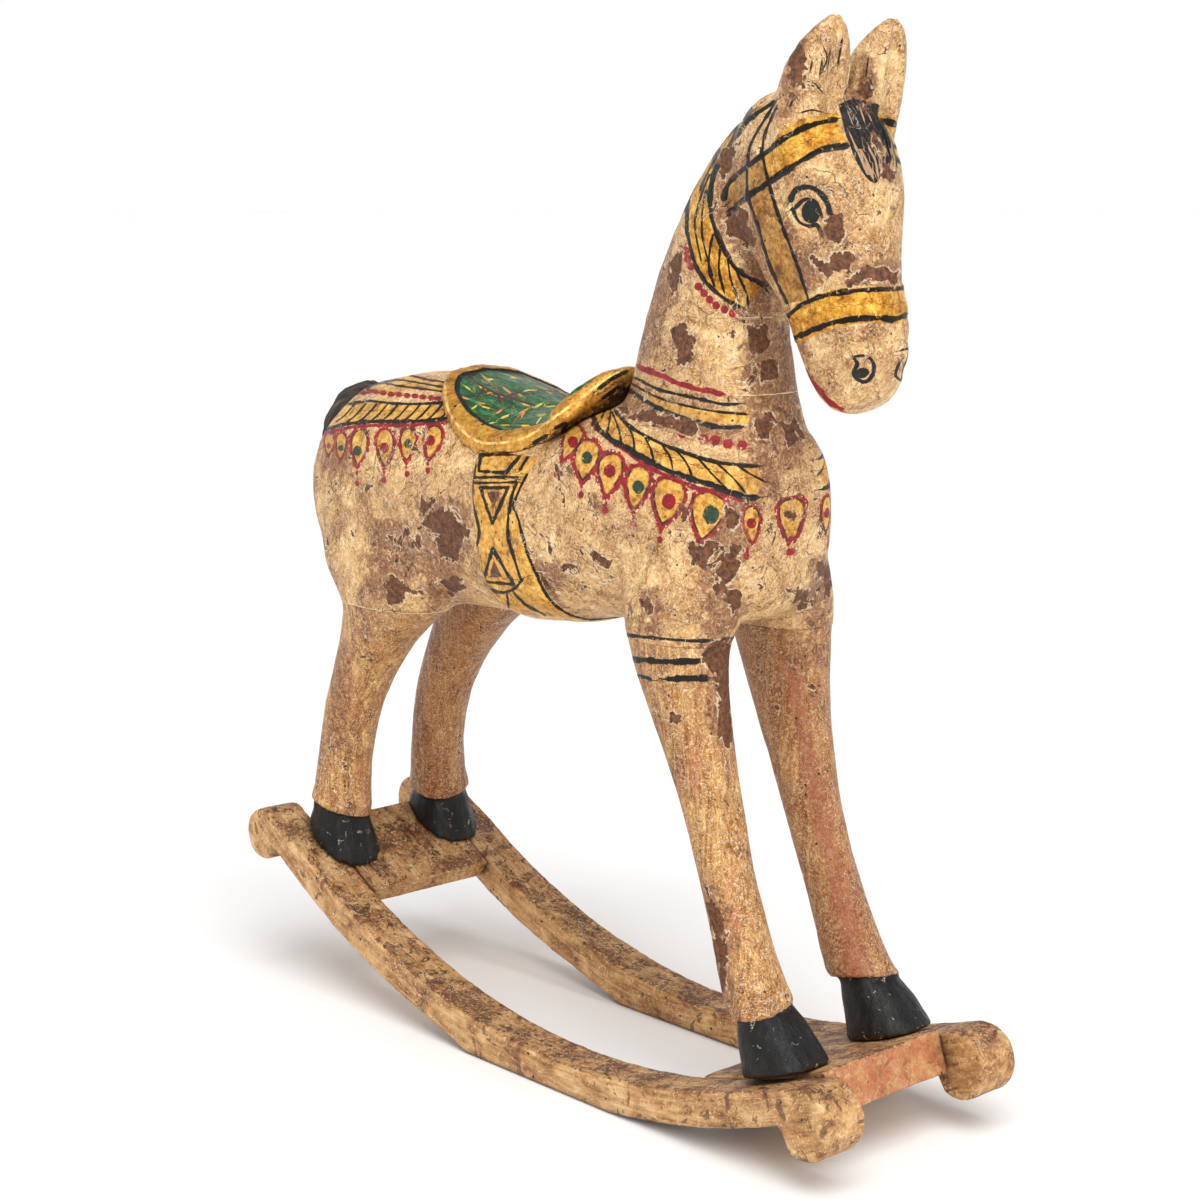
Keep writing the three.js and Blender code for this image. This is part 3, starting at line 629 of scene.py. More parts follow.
EAR_MARKS = [
    [824, 48, 827, 58, 822, 72], [822, 60, 820, 74], [815, 84, 822, 92], [830, 50, 828, 66],
    [788, 92, 793, 98, 790, 106], [793, 94, 797, 98], [870, 80, 875, 92], [868, 60, 866, 76],
    [812, 62, 810, 72], [842, 40, 838, 64], [803, 112, 812, 110, 822, 112]]
HEAD_BARE = [
    [725, 223, 742.5, 209, 749, 212, 747, 223, 755, 234, 754, 247, 745, 248.5, 738, 236, 727, 234],
    [811.6, 254, 818, 258, 831, 266, 829, 276, 820, 272, 813, 264],
    [832, 256, 850, 252, 856, 260, 848, 268, 838, 270, 832, 266],
    [845, 280, 862, 268, 880, 266, 897, 272, 895, 283, 870, 281, 850, 287],
    [667, 262, 678, 250, 684, 262, 682, 284, 674, 294, 668, 283],
    [672, 330, 684, 322, 692, 338, 694, 358, 683, 372, 674, 352],
    [748, 330, 766, 326, 770, 344, 758, 356, 748, 348], [756, 362, 776, 358, 776, 376, 762, 380],
    [790, 52, 800, 44, 806, 62, 800, 84, 792, 96, 788, 78], [800, 20, 806, 30, 800, 40, 796, 30],
    [720, 150, 736, 142, 732, 165, 722, 178], [857, 92, 868, 80, 872, 92, 866, 108],
    [884, 164, 892, 168, 895, 178, 886, 176]]
HEAD_BARE_DOTS = [((835, 229), 10.5, 13.5), ((877.4, 135.8), 5, 10)]
LEG_BLUSH = [
    777, 650, 784, 680, 796, 730, 806, 790, 818, 840, 828, 890, 840, 940, 850, 985, 872, 985, 858, 920, 842,
    860, 824, 800, 812, 740, 800, 680, 796, 650]
# Upper edge of the black hooves: its height in millimetres, and its rise forward and inward
HOOF_TOPS = {True: (104, 0.24, 0.15), False: (148, -0.22, -0.2)}
LEG_LINES = [
    ('ink_a', [620, 634.5, 660, 638.5, 700, 641, 736, 638], 3.6), ('ink_b', [632, 659, 668, 662], 6.0),
    ('ink_b', [672, 662, 700, 660.5], 6.0), ('ink_c', [640, 676, 650, 679], 4.0),
    ('ink_c', [668, 679, 706, 678], 6.0)]


# Finish: nodes of the painted and bare woods
def linear(red, green, blue):
    """A colour given as on a screen, from 0 to 255."""
    def lift(level):
        share = level / 255
        return share / 12.92 if share <= 0.04045 else ((share + 0.055) / 1.055) ** 2.4
    return (lift(red), lift(green), lift(blue), 1)


class Finish:
    """A material and the nodes it is made of. Lengths are in millimetres."""

    def __init__(self, name):
        self.material = bpy.data.materials.new(name)
        self.material.use_nodes = True
        self.tree = self.material.node_tree
        self.shader = self.tree.nodes["Principled BSDF"]
        place = self.tree.nodes.new("ShaderNodeTexCoord").outputs["Object"]
        self.place = self.vector("SCALE", place, scale=1000)

    def set(self, socket, value):
        if isinstance(value, bpy.types.NodeSocket):
            self.tree.links.new(value, socket)
        elif value is not None:
            socket.default_value = value

    def vector(self, operation, first, second=None, scale=None):
        node = self.tree.nodes.new("ShaderNodeVectorMath")
        node.operation = operation
        self.set(node.inputs[0], first)
        self.set(node.inputs[1], second)
        if scale is not None:
            node.inputs["Scale"].default_value = scale
        return node.outputs[0]

    def math(self, operation, first, second=0.0):
        node = self.tree.nodes.new("ShaderNodeMath")
        node.operation = operation
        self.set(node.inputs[0], first)
        self.set(node.inputs[1], second)
        return node.outputs[0]

    def plus(self, first, second):
        return self.math("ADD", first, second)

    def minus(self, first, second):
        return self.math("SUBTRACT", first, second)

    def times(self, first, second):
        return self.math("MULTIPLY", first, second)

    def most(self, first, second):
        return self.math("MAXIMUM", first, second)

    def noise(self, size, detail=3.0, rough=0.55, distortion=0.0, place=None):
        node = self.tree.nodes.new("ShaderNodeTexNoise")
        self.set(node.inputs["Vector"], self.place if place is None else place)
        node.inputs["Scale"].default_value = 1 / size
        node.inputs["Detail"].default_value = detail
        node.inputs["Roughness"].default_value = rough
        node.inputs["Distortion"].default_value = distortion
        return node.outputs["Fac"]

    def warped(self, size, amount):
        node = self.tree.nodes.new("ShaderNodeTexNoise")
        self.set(node.inputs["Vector"], self.place)
        node.inputs["Scale"].default_value = 1 / size
        node.inputs["Detail"].default_value = 2
        shift = self.vector("SUBTRACT", node.outputs["Color"], (0.5, 0.5, 0.5))
        return self.vector("ADD", self.place, self.vector("SCALE", shift, scale=amount))

    def cells(self, size, feature="F1", place=None, output="Distance"):
        node = self.tree.nodes.new("ShaderNodeTexVoronoi")
        node.feature = feature
        self.set(node.inputs["Vector"], self.place if place is None else place)
        node.inputs["Scale"].default_value = 1 / size
        return node.outputs[output]

    def ramp(self, value, low, high, start=0.0, end=1.0):
        """Runs smoothly from start at low to end at high."""
        node = self.tree.nodes.new("ShaderNodeMapRange")
        node.interpolation_type = "SMOOTHSTEP"
        self.set(node.inputs["Value"], value)
        for name, number in (("From Min", low), ("From Max", high), ("To Min", start), ("To Max", end)):
            node.inputs[name].default_value = number
        return node.outputs["Result"]

    def band(self, value, middle, half):
        """One where the value is near the middle, and zero away from it."""
        off = self.math("ABSOLUTE", self.minus(value, middle))
        return self.ramp(off, half * 0.4, half, 1, 0)

    def mix(self, share, first, second):
        node = self.tree.nodes.new("ShaderNodeMix")
        node.data_type = "RGBA"
        self.set(node.inputs[0], share)
        self.set(node.inputs[6], first)
        self.set(node.inputs[7], second)
        return node.outputs[2]

    def blend(self, share, first, second):
        node = self.tree.nodes.new("ShaderNodeMix")
        self.set(node.inputs[0], share)
        self.set(node.inputs[2], first)
        self.set(node.inputs[3], second)
        return node.outputs[0]

    def creases(self, reach):
        """One on open faces, falling to zero in narrow places."""
        node = self.tree.nodes.new("ShaderNodeAmbientOcclusion")
        node.samples = 4
        node.inputs["Distance"].default_value = reach / 1000
        return node.outputs["AO"]

    def field(self, name, output="Fac"):
        node = self.tree.nodes.new("ShaderNodeAttribute")
        node.attribute_name = name
        return node.outputs[output]

    def colours(self, value, stops):
        node = self.tree.nodes.new("ShaderNodeValToRGB")
        self.set(node.inputs["Fac"], value)
        ramp = node.color_ramp
        while len(ramp.elements) < len(stops):
            ramp.elements.new(0.5)
        for element, (place, colour) in zip(ramp.elements, stops):
            element.position = place
            element.color = colour
        return node.outputs["Color"]

    def finish(self, colour, roughness, height, relief, metallic=None):
        """Wires the shader. relief is the depth of the bump in millimetres."""
        self.set(self.shader.inputs["Base Color"], colour)
        self.set(self.shader.inputs["Roughness"], roughness)
        self.set(self.shader.inputs["Metallic"], metallic)
        bump = self.tree.nodes.new("ShaderNodeBump")
        bump.inputs["Strength"].default_value = 1
        bump.inputs["Distance"].default_value = relief / 1000
        self.set(bump.inputs["Height"], height)
        self.set(self.shader.inputs["Normal"], bump.outputs["Normal"])
        return self.material


RED, RED_DEEP = linear(170, 16, 32), linear(118, 14, 30)
GREEN, GREEN_DEEP = linear(22, 60, 38), linear(64, 80, 62)
INK, INK_WORN = linear(9, 9, 9), linear(34, 32, 30)
UMBER, UMBER_DEEP, UMBER_LIGHT = linear(102, 62, 38), linear(60, 34, 20), linear(136, 92, 62)
CHALK = linear(242, 222, 186)
CREAM_STOPS = [(0.35, linear(106, 62, 26)), (0.44, linear(166, 115, 62)), (0.51, linear(200, 151, 91)),
               (0.58, linear(228, 187, 126)), (0.68, linear(250, 222, 167))]
LEG_STOPS = [(0.35, linear(88, 44, 14)), (0.45, linear(146, 90, 38)), (0.52, linear(176, 121, 60)),
             (0.6, linear(202, 153, 86)), (0.68, linear(242, 205, 143))]
WORN_STOPS = [(0.36, linear(78, 44, 24)), (0.47, linear(132, 86, 55)), (0.55, linear(164, 116, 78)),
              (0.63, linear(208, 166, 120))]
STAND_STOPS = [(0.36, linear(104, 62, 32)), (0.44, linear(154, 106, 60)), (0.51, linear(186, 138, 84)),
               (0.58, linear(208, 164, 108)), (0.68, linear(236, 202, 152))]
BODY_GILT = [(0.38, linear(150, 96, 32)), (0.5, linear(224, 164, 68)), (0.64, linear(252, 208, 112))]
HEAD_GILT = [(0.38, linear(136, 82, 18)), (0.5, linear(210, 144, 40)), (0.64, linear(255, 210, 96))]


def specks(finish, size, radius, share, place=None):
    """Round marks in a share of the cells."""
    place = finish.place if place is None else place
    near = finish.ramp(finish.cells(size, place=place), radius, radius * 1.35, 1, 0)
    lot = finish.cells(size, place=place, output="Color")
    chosen = finish.math("GREATER_THAN", lot, 1 - share)
    return finish.times(near, chosen)


def wear_masks(finish, flaking, crack_share):
    """Marks of age: flakes with pale rims, cracks, curls of the brush, and worm holes."""
    loose = finish.warped(9, 6)
    torn = finish.times(finish.minus(finish.noise(12, 4, 0.62, 0.5), 0.5), 30.0)
    bare = finish.plus(finish.field("bare"), torn)
    large = finish.noise(24, 5, 0.66, 0.8, loose)
    small = finish.noise(6.5, 3, 0.6, 0.8, loose)
    large_off = finish.minus(flaking, large)
    small_off = finish.minus(flaking + 0.035, small)
    off = finish.math("MINIMUM", large_off, small_off)
    flake = finish.ramp(off, -0.003, 0.003, 1, 0)
    flake_rim = finish.band(off, 0.012, 0.012)
    bare_mask = finish.ramp(bare, -0.5, 0.5, 1, 0)
    rim_gate = finish.ramp(finish.noise(10, 2), 0.46, 0.56)
    bare_rim = finish.times(finish.band(bare, 1.3, 1.3), rim_gate)
    faded = finish.ramp(bare, 1.0, 8.0, 0.55, 0)
    crack_cells = finish.cells(21, "DISTANCE_TO_EDGE", finish.warped(8, 9))
    gate = finish.ramp(finish.noise(24, 3), 0.5, 0.6)
    crack = finish.times(finish.ramp(crack_cells, 0.01, 0.026, 1, 0), gate)
    crack = finish.times(crack, crack_share)
    curl = finish.noise(8, 3, 0.5, 3.4)
    curl_gate = finish.ramp(finish.noise(11, 2), 0.47, 0.6)
    dark_curl = finish.times(finish.band(curl, 0.57, 0.016), curl_gate)
    pale_curl = finish.band(finish.noise(6, 3, 0.55, 2.8), 0.47, 0.03)
    dashes = finish.vector("MULTIPLY", finish.warped(20, 14), (1.0, 1.0, 0.36))
    pit = finish.most(specks(finish, 8.5, 0.09, 0.4), specks(finish, 7, 0.09, 0.16, dashes))
    return {"flake": flake, "flake_rim": flake_rim, "bare": bare_mask, "bare_rim": bare_rim, "faded": faded,
            "crack": crack, "dark_curl": dark_curl, "pale_curl": pale_curl, "pit": pit}


def bare_wood(finish):
    grain = finish.noise(3.5, 5, 0.65, 0.5)
    return finish.colours(grain, [(0.34, UMBER_DEEP), (0.5, UMBER), (0.68, UMBER_LIGHT)])


def swirls(finish, size, turns, place=None):
    """Curling lines, as a brush leaves them in thick paint."""
    wave = finish.math("SINE", finish.times(finish.noise(size, 3, 0.5, 1.6, place), turns))
    gate = finish.ramp(finish.noise(17, 3), 0.42, 0.58)
    return finish.times(finish.times(wave, 0.055), gate)


def flecked(finish, colour):
    """Crisp pale flecks and brown chips over the even paint."""
    fleck = finish.ramp(finish.noise(4.6, 4, 0.6, 2.4), 0.575, 0.6, 0, 0.55)
    colour = finish.mix(fleck, colour, linear(248, 220, 172))
    chip = finish.ramp(finish.noise(7.5, 4, 0.62, 2.4), 0.38, 0.4, 0.6, 0)
    return finish.mix(chip, colour, linear(118, 72, 36))


def cream_ground(finish):
    fine = finish.noise(9, 4, 0.62, 2.4)
    broad = finish.noise(36, 5, 0.64, 1.0)
    tone = finish.blend(0.62, fine, broad)
    tone = finish.plus(tone, swirls(finish, 17, 70))
    return flecked(finish, finish.colours(tone, CREAM_STOPS)), fine


def leg_ground(finish):
    stretched = finish.vector("MULTIPLY", finish.warped(30, 8), (1, 1, 0.12))
    streak = finish.noise(6.5, 5, 0.64, 0.9, stretched)
    broad = finish.noise(42, 3)
    tone = finish.blend(0.35, streak, broad)
    tone = finish.plus(tone, swirls(finish, 13, 60, stretched))
    colour = flecked(finish, finish.colours(tone, LEG_STOPS))
    reddish = finish.ramp(finish.noise(20, 4, 0.6, 0.6, stretched), 0.53, 0.68, 0, 0.55)
    return finish.mix(reddish, colour, linear(180, 104, 62)), streak


def shaded_left_leg_ground(finish):
    """The legs of the left side, darker and more reddish: the reddish tone is their own, and the darkening is
    painted shade on the side turned from the light.
    """
    colour, streak = leg_ground(finish)
    return finish.mix(0.42, colour, linear(132, 70, 30)), streak


def ornament_masks(finish):
    """Where each painted layer lies, with the slight waver of a brush and with scuffs."""
    waver = finish.times(finish.minus(finish.noise(5, 3, 0.6), 0.5), 2.2)
    scuff = finish.ramp(finish.noise(3.4, 5, 0.7, 0.6), 0.63, 0.69, 0, 3.0)
    loss = finish.plus(waver, scuff)

    def area(layer):
        return finish.ramp(finish.plus(finish.field(layer), loss), -0.35, 0.35, 1, 0)

    swell = finish.ramp(finish.noise(10, 2), 0.35, 0.65, 0.75, 1.3)
    line_loss = finish.times(scuff, 0.45)

    def line(layer):
        off = finish.math("ABSOLUTE", finish.field(layer))
        off = finish.plus(finish.times(off, swell), line_loss)
        return finish.ramp(off, 0.8, 1.2, 1, 0)

    drop = finish.plus(finish.field("drop"), finish.times(waver, 0.5))
    beads = finish.times(finish.minus(finish.cells(4.0), 0.66), 3.4)
    outer = finish.ramp(finish.plus(finish.plus(drop, beads), scuff), -0.3, 0.3, 1, 0)
    inner = finish.ramp(drop, -4.2, -3.7, 1, 0)
    rim = finish.band(drop, -4.3, 1.3)
    pearls = finish.times(finish.band(drop, -0.6, 1.2), specks(finish, 2.9, 0.27, 0.6))
    red = finish.most(line("red_line"), area("red_dot"))
    ink = finish.most(finish.most(line("ink_a"), line("ink_b")), line("ink_c"))
    return {"gold": finish.most(area("gold"), inner), "drop": outer, "drop_rim": rim,
            "pearls": pearls, "red": red, "green": area("green_dot"),
            "ink": finish.most(ink, area("black")), "gilt": line("gilt"), "pale": line("pale_line"),
            "seam": line("seam"), "umber": area("umber"), "tan": area("tan")}


def painted(name, ground, gilt, flaking=0.645, crack_share=0.9, gloss=0.5, metal_share=0.3, sheen=0.4):
    """Worn paint with the painted layers over it."""
    finish = Finish(name)
    finish.shader.inputs["Specular IOR Level"].default_value = sheen
    masks = wear_masks(finish, flaking, crack_share)
    paint = ornament_masks(finish)
    colour, tone = ground(finish)
    colour = finish.mix(finish.times(masks["pale_curl"], 0.5), colour, CHALK)
    blush = finish.times(finish.noise(9, 5, 0.65), 22.0)
    blush = finish.plus(finish.minus(finish.field("blush"), 4.0), blush)
    colour = finish.mix(finish.ramp(blush, 0, 13, 0.6, 0), colour, linear(150, 78, 52))
    torn = finish.times(finish.minus(finish.noise(15, 5, 0.66, 1.0), 0.5), 56.0)
    worn = finish.ramp(finish.plus(finish.field("worn"), torn), -4, 4, 1, 0)
    worn_colour = finish.colours(finish.noise(5, 6, 0.7, 1.8), WORN_STOPS)
    colour = finish.mix(finish.times(worn, 0.88), colour, worn_colour)
    shine = finish.blend(0.5, finish.noise(10, 4, 0.6, 0.6), finish.noise(3.4, 4, 0.65, 0.8))
    tan = finish.mix(finish.ramp(shine, 0.38, 0.62), linear(104, 66, 34), linear(184, 134, 76))
    gold_colour = finish.mix(finish.times(paint["tan"], 0.75), finish.colours(shine, gilt), tan)
    colour = finish.mix(paint["drop"], colour, finish.mix(finish.ramp(shine, 0.4, 0.6), RED_DEEP, RED))
    colour = finish.mix(finish.times(paint["pearls"], 0.85), colour, CHALK)
    colour = finish.mix(paint["gold"], colour, gold_colour)
    # The gilt layer: bright gold drips, and a painted highlight along the girth's front edge
    colour = finish.mix(paint["gilt"], colour, finish.mix(finish.ramp(shine, 0.4, 0.6), linear(206, 140, 40),
                                                          linear(250, 206, 96)))
    colour = finish.mix(finish.times(worn, 0.3), colour, worn_colour)
    drop_rim = finish.times(paint["drop_rim"], finish.ramp(finish.noise(9, 2), 0.42, 0.56, 0.25, 1))
    colour = finish.mix(drop_rim, colour, linear(44, 30, 32))
    colour = finish.mix(paint["green"], colour, finish.mix(finish.ramp(shine, 0.42, 0.6), GREEN, GREEN_DEEP))
    colour = finish.mix(paint["umber"], colour, bare_wood(finish))
    colour = finish.mix(paint["red"], colour, finish.mix(finish.ramp(shine, 0.4, 0.6), RED_DEEP, RED))
    colour = finish.mix(paint["ink"], colour, finish.mix(finish.ramp(shine, 0.5, 0.68), INK, INK_WORN))
    colour = finish.mix(finish.times(paint["pale"], 0.9), colour, linear(190, 152, 114))
    marks = finish.most(masks["crack"], masks["dark_curl"])
    covered = finish.most(paint["gold"], paint["ink"])
    soft = finish.times(marks, finish.ramp(covered, 0, 1, 0.8, 0.35))
    colour = finish.mix(soft, colour, UMBER_DEEP)
    colour = finish.mix(finish.times(masks["faded"], finish.ramp(finish.noise(7, 4, 0.6, 1.5), 0.42, 0.55)),
                        colour, linear(160, 118, 86))
    rims = finish.most(masks["flake_rim"], masks["bare_rim"])
    colour = finish.mix(finish.times(rims, 0.55), colour, CHALK)
    kept = finish.ramp(covered, 0, 1, 1, 0.15)
    gone = finish.most(finish.times(masks["flake"], kept), masks["bare"])
    colour = finish.mix(gone, colour, bare_wood(finish))
    colour = finish.mix(finish.times(paint["seam"], 0.8), colour, linear(232, 206, 166))
    colour = finish.mix(finish.times(masks["pit"], 0.9), colour, linear(40, 25, 16))
    # Painted shade: the paint turns dark brown in creases and narrow places, following the occlusion node
    crease_shade = finish.ramp(finish.creases(26), 0.3, 0.86, 0.62, 0)
    colour = finish.mix(finish.times(crease_shade, finish.ramp(finish.noise(6, 4), 0.3, 0.6, 0.6, 1)), colour,
                        linear(70, 40, 20))
    sunk = finish.plus(finish.times(gone, 0.5), finish.times(masks["pit"], 1.1))
    height = finish.minus(finish.times(tone, 1.4), sunk)
    rough = finish.blend(gone, finish.blend(paint["gold"], gloss, 0.36), 0.68)
    rough = finish.plus(rough, finish.ramp(finish.noise(7, 3), 0.3, 0.7, -0.08, 0.09))
    metal = finish.times(finish.times(paint["gold"], metal_share),
                        finish.minus(1.0, gone))
    return finish.finish(colour, rough, height, 0.9, metal)


def bare_stand(name):
    finish = Finish(name)
    grain_place = finish.field("grain", "Vector")
    long = finish.vector("MULTIPLY", grain_place, (0.16, 1, 1))
    streak = finish.noise(6, 5, 0.65, 1.0, long)
    blotch = finish.noise(30, 4, 0.62, 0.8, grain_place)
    curl = finish.noise(11, 4, 0.62, 2.2, grain_place)
    tone = finish.blend(0.5, streak, blotch)
    colour = finish.colours(tone, STAND_STOPS)
    top = finish.field("top")
    rubbed = finish.ramp(finish.blend(0.5, curl, blotch), 0.45, 0.52, 0.85, 0.25)
    colour = finish.mix(finish.times(top, rubbed), colour, linear(104, 62, 36))
    chip = finish.times(top, finish.ramp(curl, 0.415, 0.43, 0.8, 0))
    colour = finish.mix(chip, colour, linear(62, 36, 22))
    pale = finish.ramp(finish.noise(5, 4, 0.6, 2.4, grain_place), 0.585, 0.61, 0, 0.5)
    colour = finish.mix(pale, colour, linear(240, 206, 158))
    scratch = finish.band(finish.noise(9, 2, 0.5, 2.6, grain_place), 0.42, 0.012)
    scratch = finish.times(scratch, finish.ramp(finish.noise(22, 2), 0.44, 0.56))
    colour = finish.mix(finish.times(scratch, 0.7), colour, CHALK)
    stain = finish.ramp(finish.noise(17, 5, 0.65, 0.8, grain_place), 0.585, 0.625)
    colour = finish.mix(finish.times(stain, 0.75), colour, linear(96, 58, 34))
    pit_cells = finish.cells(12, place=finish.vector("MULTIPLY", grain_place, (0.8, 1, 1)))
    pit = finish.ramp(pit_cells, 0.06, 0.1, 1, 0)
    pit = finish.times(pit, finish.ramp(finish.noise(40, 1), 0.42, 0.52))
    specks = finish.ramp(finish.cells(5.5), 0.045, 0.08, 1, 0)
    specks = finish.times(specks, finish.ramp(finish.noise(18, 2), 0.52, 0.62))
    holes = finish.most(pit, specks)
    colour = finish.mix(holes, colour, linear(46, 28, 18))
    blush = finish.ramp(finish.field("blush"), 0, 1, 0, 0.75)
    blush = finish.times(blush, finish.ramp(finish.noise(10, 4), 0.4, 0.6, 0.4, 1))
    colour = finish.mix(blush, colour, linear(184, 106, 70))
    # Painted shade: the wood turns dark brown in creases and narrow places, following the occlusion node
    crease_shade = finish.ramp(finish.creases(24), 0.3, 0.85, 0.7, 0)
    colour = finish.mix(crease_shade, colour, linear(62, 36, 20))
    sunk = finish.plus(holes, finish.times(stain, 0.3))
    height = finish.minus(finish.noise(5, 6, 0.6, 0.7, long), sunk)
    rough = finish.ramp(streak, 0.3, 0.7, 0.72, 0.55)
    return finish.finish(colour, rough, height, 1.0)


def tail_coat(name):
    finish = Finish(name)
    long = finish.vector("MULTIPLY", finish.field("grain", "Vector"), (0.08, 1, 1))
    strand = finish.noise(3.2, 4, 0.6, 0.5, long)
    colour = finish.colours(strand, [(0.36, linear(18, 16, 15)), (0.5, linear(44, 36, 30)),
                                     (0.62, linear(84, 66, 50)), (0.74, linear(140, 116, 88))])
    return finish.finish(colour, finish.ramp(strand, 0.3, 0.7, 0.5, 0.7), strand, 1.6)


# Pieces
def lay_field(mesh, name, values):
    kind = "FLOAT" if values.ndim == 1 else "FLOAT_VECTOR"
    attribute = mesh.attributes.new(name, kind, "POINT")
    attribute.data.foreach_set("value" if values.ndim == 1 else "vector", values.astype(np.float32).ravel())


def done(piece, node, material):
    piece.data.materials.clear()
    piece.data.materials.append(material)
    piece.data.polygons.foreach_set("use_smooth", [True] * len(piece.data.polygons))
    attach(piece, "root")
    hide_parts(node)


def close_seams(piece, levels):
    """Draws a piece's cut faces back by its half of the glue line."""
    points = coordinates(piece.data)
    heights = drawn(points)[:, 2]
    middle = heights.mean()
    free = ~in_muzzle(drawn(points))
    for level in levels:
        on_cut = (np.abs(heights - level) < 0.01) & free
        points[on_cut, 2] += math.copysign(SEAM_GAP / 1000, middle - level)
    set_coordinates(piece.data, points)


def push(piece, amounts):
    """Moves points out along their normals, by millimetres."""
    mesh = piece.data
    set_coordinates(mesh, coordinates(mesh) + normals(mesh) * amounts[:, None] / 1000)


def in_muzzle(place):
    """The part of the head that hangs lower than the seam under it."""
    return (place[:, 0] > MUZZLE_FROM) & (place[:, 2] > MUZZLE_ABOVE)


def body_parts():
    """Cuts torso, neck and legs from one even skin."""
    legs = ["front_leg_right", "front_leg_left", "hind_leg_right", "hind_leg_left"]
    skin = fused("skin", ["torso", "neck", "head"] + legs, 1.97)
    place = drawn(coordinates(skin.data))
    hoof = np.where(place[:, 0] > 0, HOOF_TOPS[True][0], HOOF_TOPS[False][0] + 2)
    strength = 0.08 + 0.92 * step(place[:, 2], hoof + 6, hoof + 60)
    skin = smoothed(skin, 90, strength)

    def classify(centres):
        x, y, z = centres.T
        labels = np.full(len(centres), 6)
        under_head = ~in_muzzle(centres)
        labels[under_head & (z < NECK_SEAM)] = 0
        labels[under_head & (z > NECK_SEAM) & (z < HEAD_SEAM)] = 1
        front = (x > FRONT_LEGS_FROM) & (z < FRONT_LEG_SEAM)
        hind = (x < HIND_LEGS_FROM) & (z < HIND_LEG_SEAM)
        labels[front & (y < 0)] = 2
        labels[front & (y > 0)] = 3
        labels[hind & (y < 0)] = 4
        labels[hind & (y > 0)] = 5
        return labels

    levels = (NECK_SEAM, HEAD_SEAM, FRONT_LEG_SEAM, HIND_LEG_SEAM)
    return cut_pieces(skin, levels, classify, [f"carved_{node}" for node in ["torso", "neck"] + legs])


def girth_share(place):
    side = place[:, [0, 2]]
    return area_distance(side, pairs(GIRTH_SIDE))


def paint_body(paint):
    """Collar, ring, rump kit and drops, shared by torso and neck."""
    paint.area("gold", between(COLLAR_TOP + COLLAR_END, COLLAR_LOW))
    paint.line("ink_a", COLLAR_TOP, 4.0)
    paint.line("ink_a", COLLAR_LOW, 6.0)
    for number, stroke in enumerate(COLLAR_STROKES):
        paint.line(("ink_b", "ink_c")[number % 2], stroke, 2.2)
    paint.line("red_line", COLLAR_RED, 4.6)
    for place in pairs(COLLAR_DOTS):
        paint.dot("red_dot", place, 5.3)
    paint.area("gold", RING_GOLD)
    paint.line("ink_a", RING_LOW, 4.8)
    paint.line("ink_b", RING_MIDDLE, 2.4)
    paint.line("ink_c", RING_TOP, 3.2)
    paint.line("red_line", RING_SMEAR, 5.5)
    for drop in DROPS:
        teardrop(paint, *drop)
    paint.area("gold", between(RUMP_ROPE_TOP, RUMP_ROPE_LOW))
    paint.line("ink_a", RUMP_ROPE_TOP, 3.0)
    paint.line("ink_a", RUMP_ROPE_LOW, 4.0)
    for number, start in enumerate(range(325, 442, 11)):
        twist = [(start, 422), (start + 9, 415), (start + 19, 403.5)]
        paint.line(("ink_b", "ink_c")[number % 2], twist, 1.9)
    paint.line("red_line", RUMP_RED, 4.0)
    for place in pairs(RUMP_DOTS):
        paint.dot("red_dot", place, 3.5, 2.9)
    paint.area("gold", RUMP_BAND)
    for layer, line in zip(("ink_a", "ink_b", "ink_c"), RUMP_BAND_LINES):
        paint.line(layer, line, 2.2)
    paint.line("gilt", DRIP, 2.4)
    for patch in TORSO_BARE:
        paint.area("bare", patch, spots=paint.seen)
    for zone in WORN:
        paint.area("worn", zone, spots=paint.seen)


def paint_girth(paint):
    """The strap under the saddle. The paint of other ornament stops at it."""
    outside = girth_share(paint.points)
    strap = outside < 1
    for layer in ("bare", "worn", "red_dot", "green_dot", "drop"):
        if layer in paint.layers:
            paint.layers[layer][strap] = FAR
    paint.put("gold", outside * PIXELS_PER_MILLIMETRE)
    everywhere = paint.spots
    paint.spots = np.where(outside[:, None] < 0.6, everywhere, NOWHERE)
    for layer, points, width in GIRTH_LINES:
        paint.line(layer, points, width, smooth=len(points) > 8)
    for layer, points in GIRTH_RINGS:
        paint.ring(layer, points, 3.4)
    for points in GIRTH_CORES:
        paint.area("umber", points)
    # Painted highlight: a bright gold line along the strap's front edge
    paint.line("gilt", GIRTH_EDGE_HIGHLIGHT, 5.0)
    paint.spots = everywhere
    below = paint.points[:, 2] < 460
    paint.put_line("ink_c", outside[below] / 0.9, below)


def torso(piece, material):
    place = drawn(coordinates(piece.data))
    outside = girth_share(place)
    belly = place[:, 2] < 470
    relief = np.where(belly, 1.2 * step(outside, 1.0, -1.5), 0)
    dents = 0.35 * rough_noise(place, 16, 3) + 0.12 * rough_noise(place, 5, 8, 2)
    push(piece, relief + dents * (np.abs(outside) > 3))
    close_seams(piece, (NECK_SEAM, FRONT_LEG_SEAM, HIND_LEG_SEAM))
    paint = Paint(piece)
    paint_body(paint)
    paint_girth(paint)
    hind = paint.points[:, 0] < HIND_LEGS_FROM
    paint.level("seam", HIND_LEG_SEAM, 1.4, hind)
    layer, points, width = LEG_LINES[0]
    paint.line(layer, points, width, spots=np.where(paint.points[:, 1:2] < 0, paint.spots, NOWHERE))
    paint.store()
    done(piece, "torso", material)


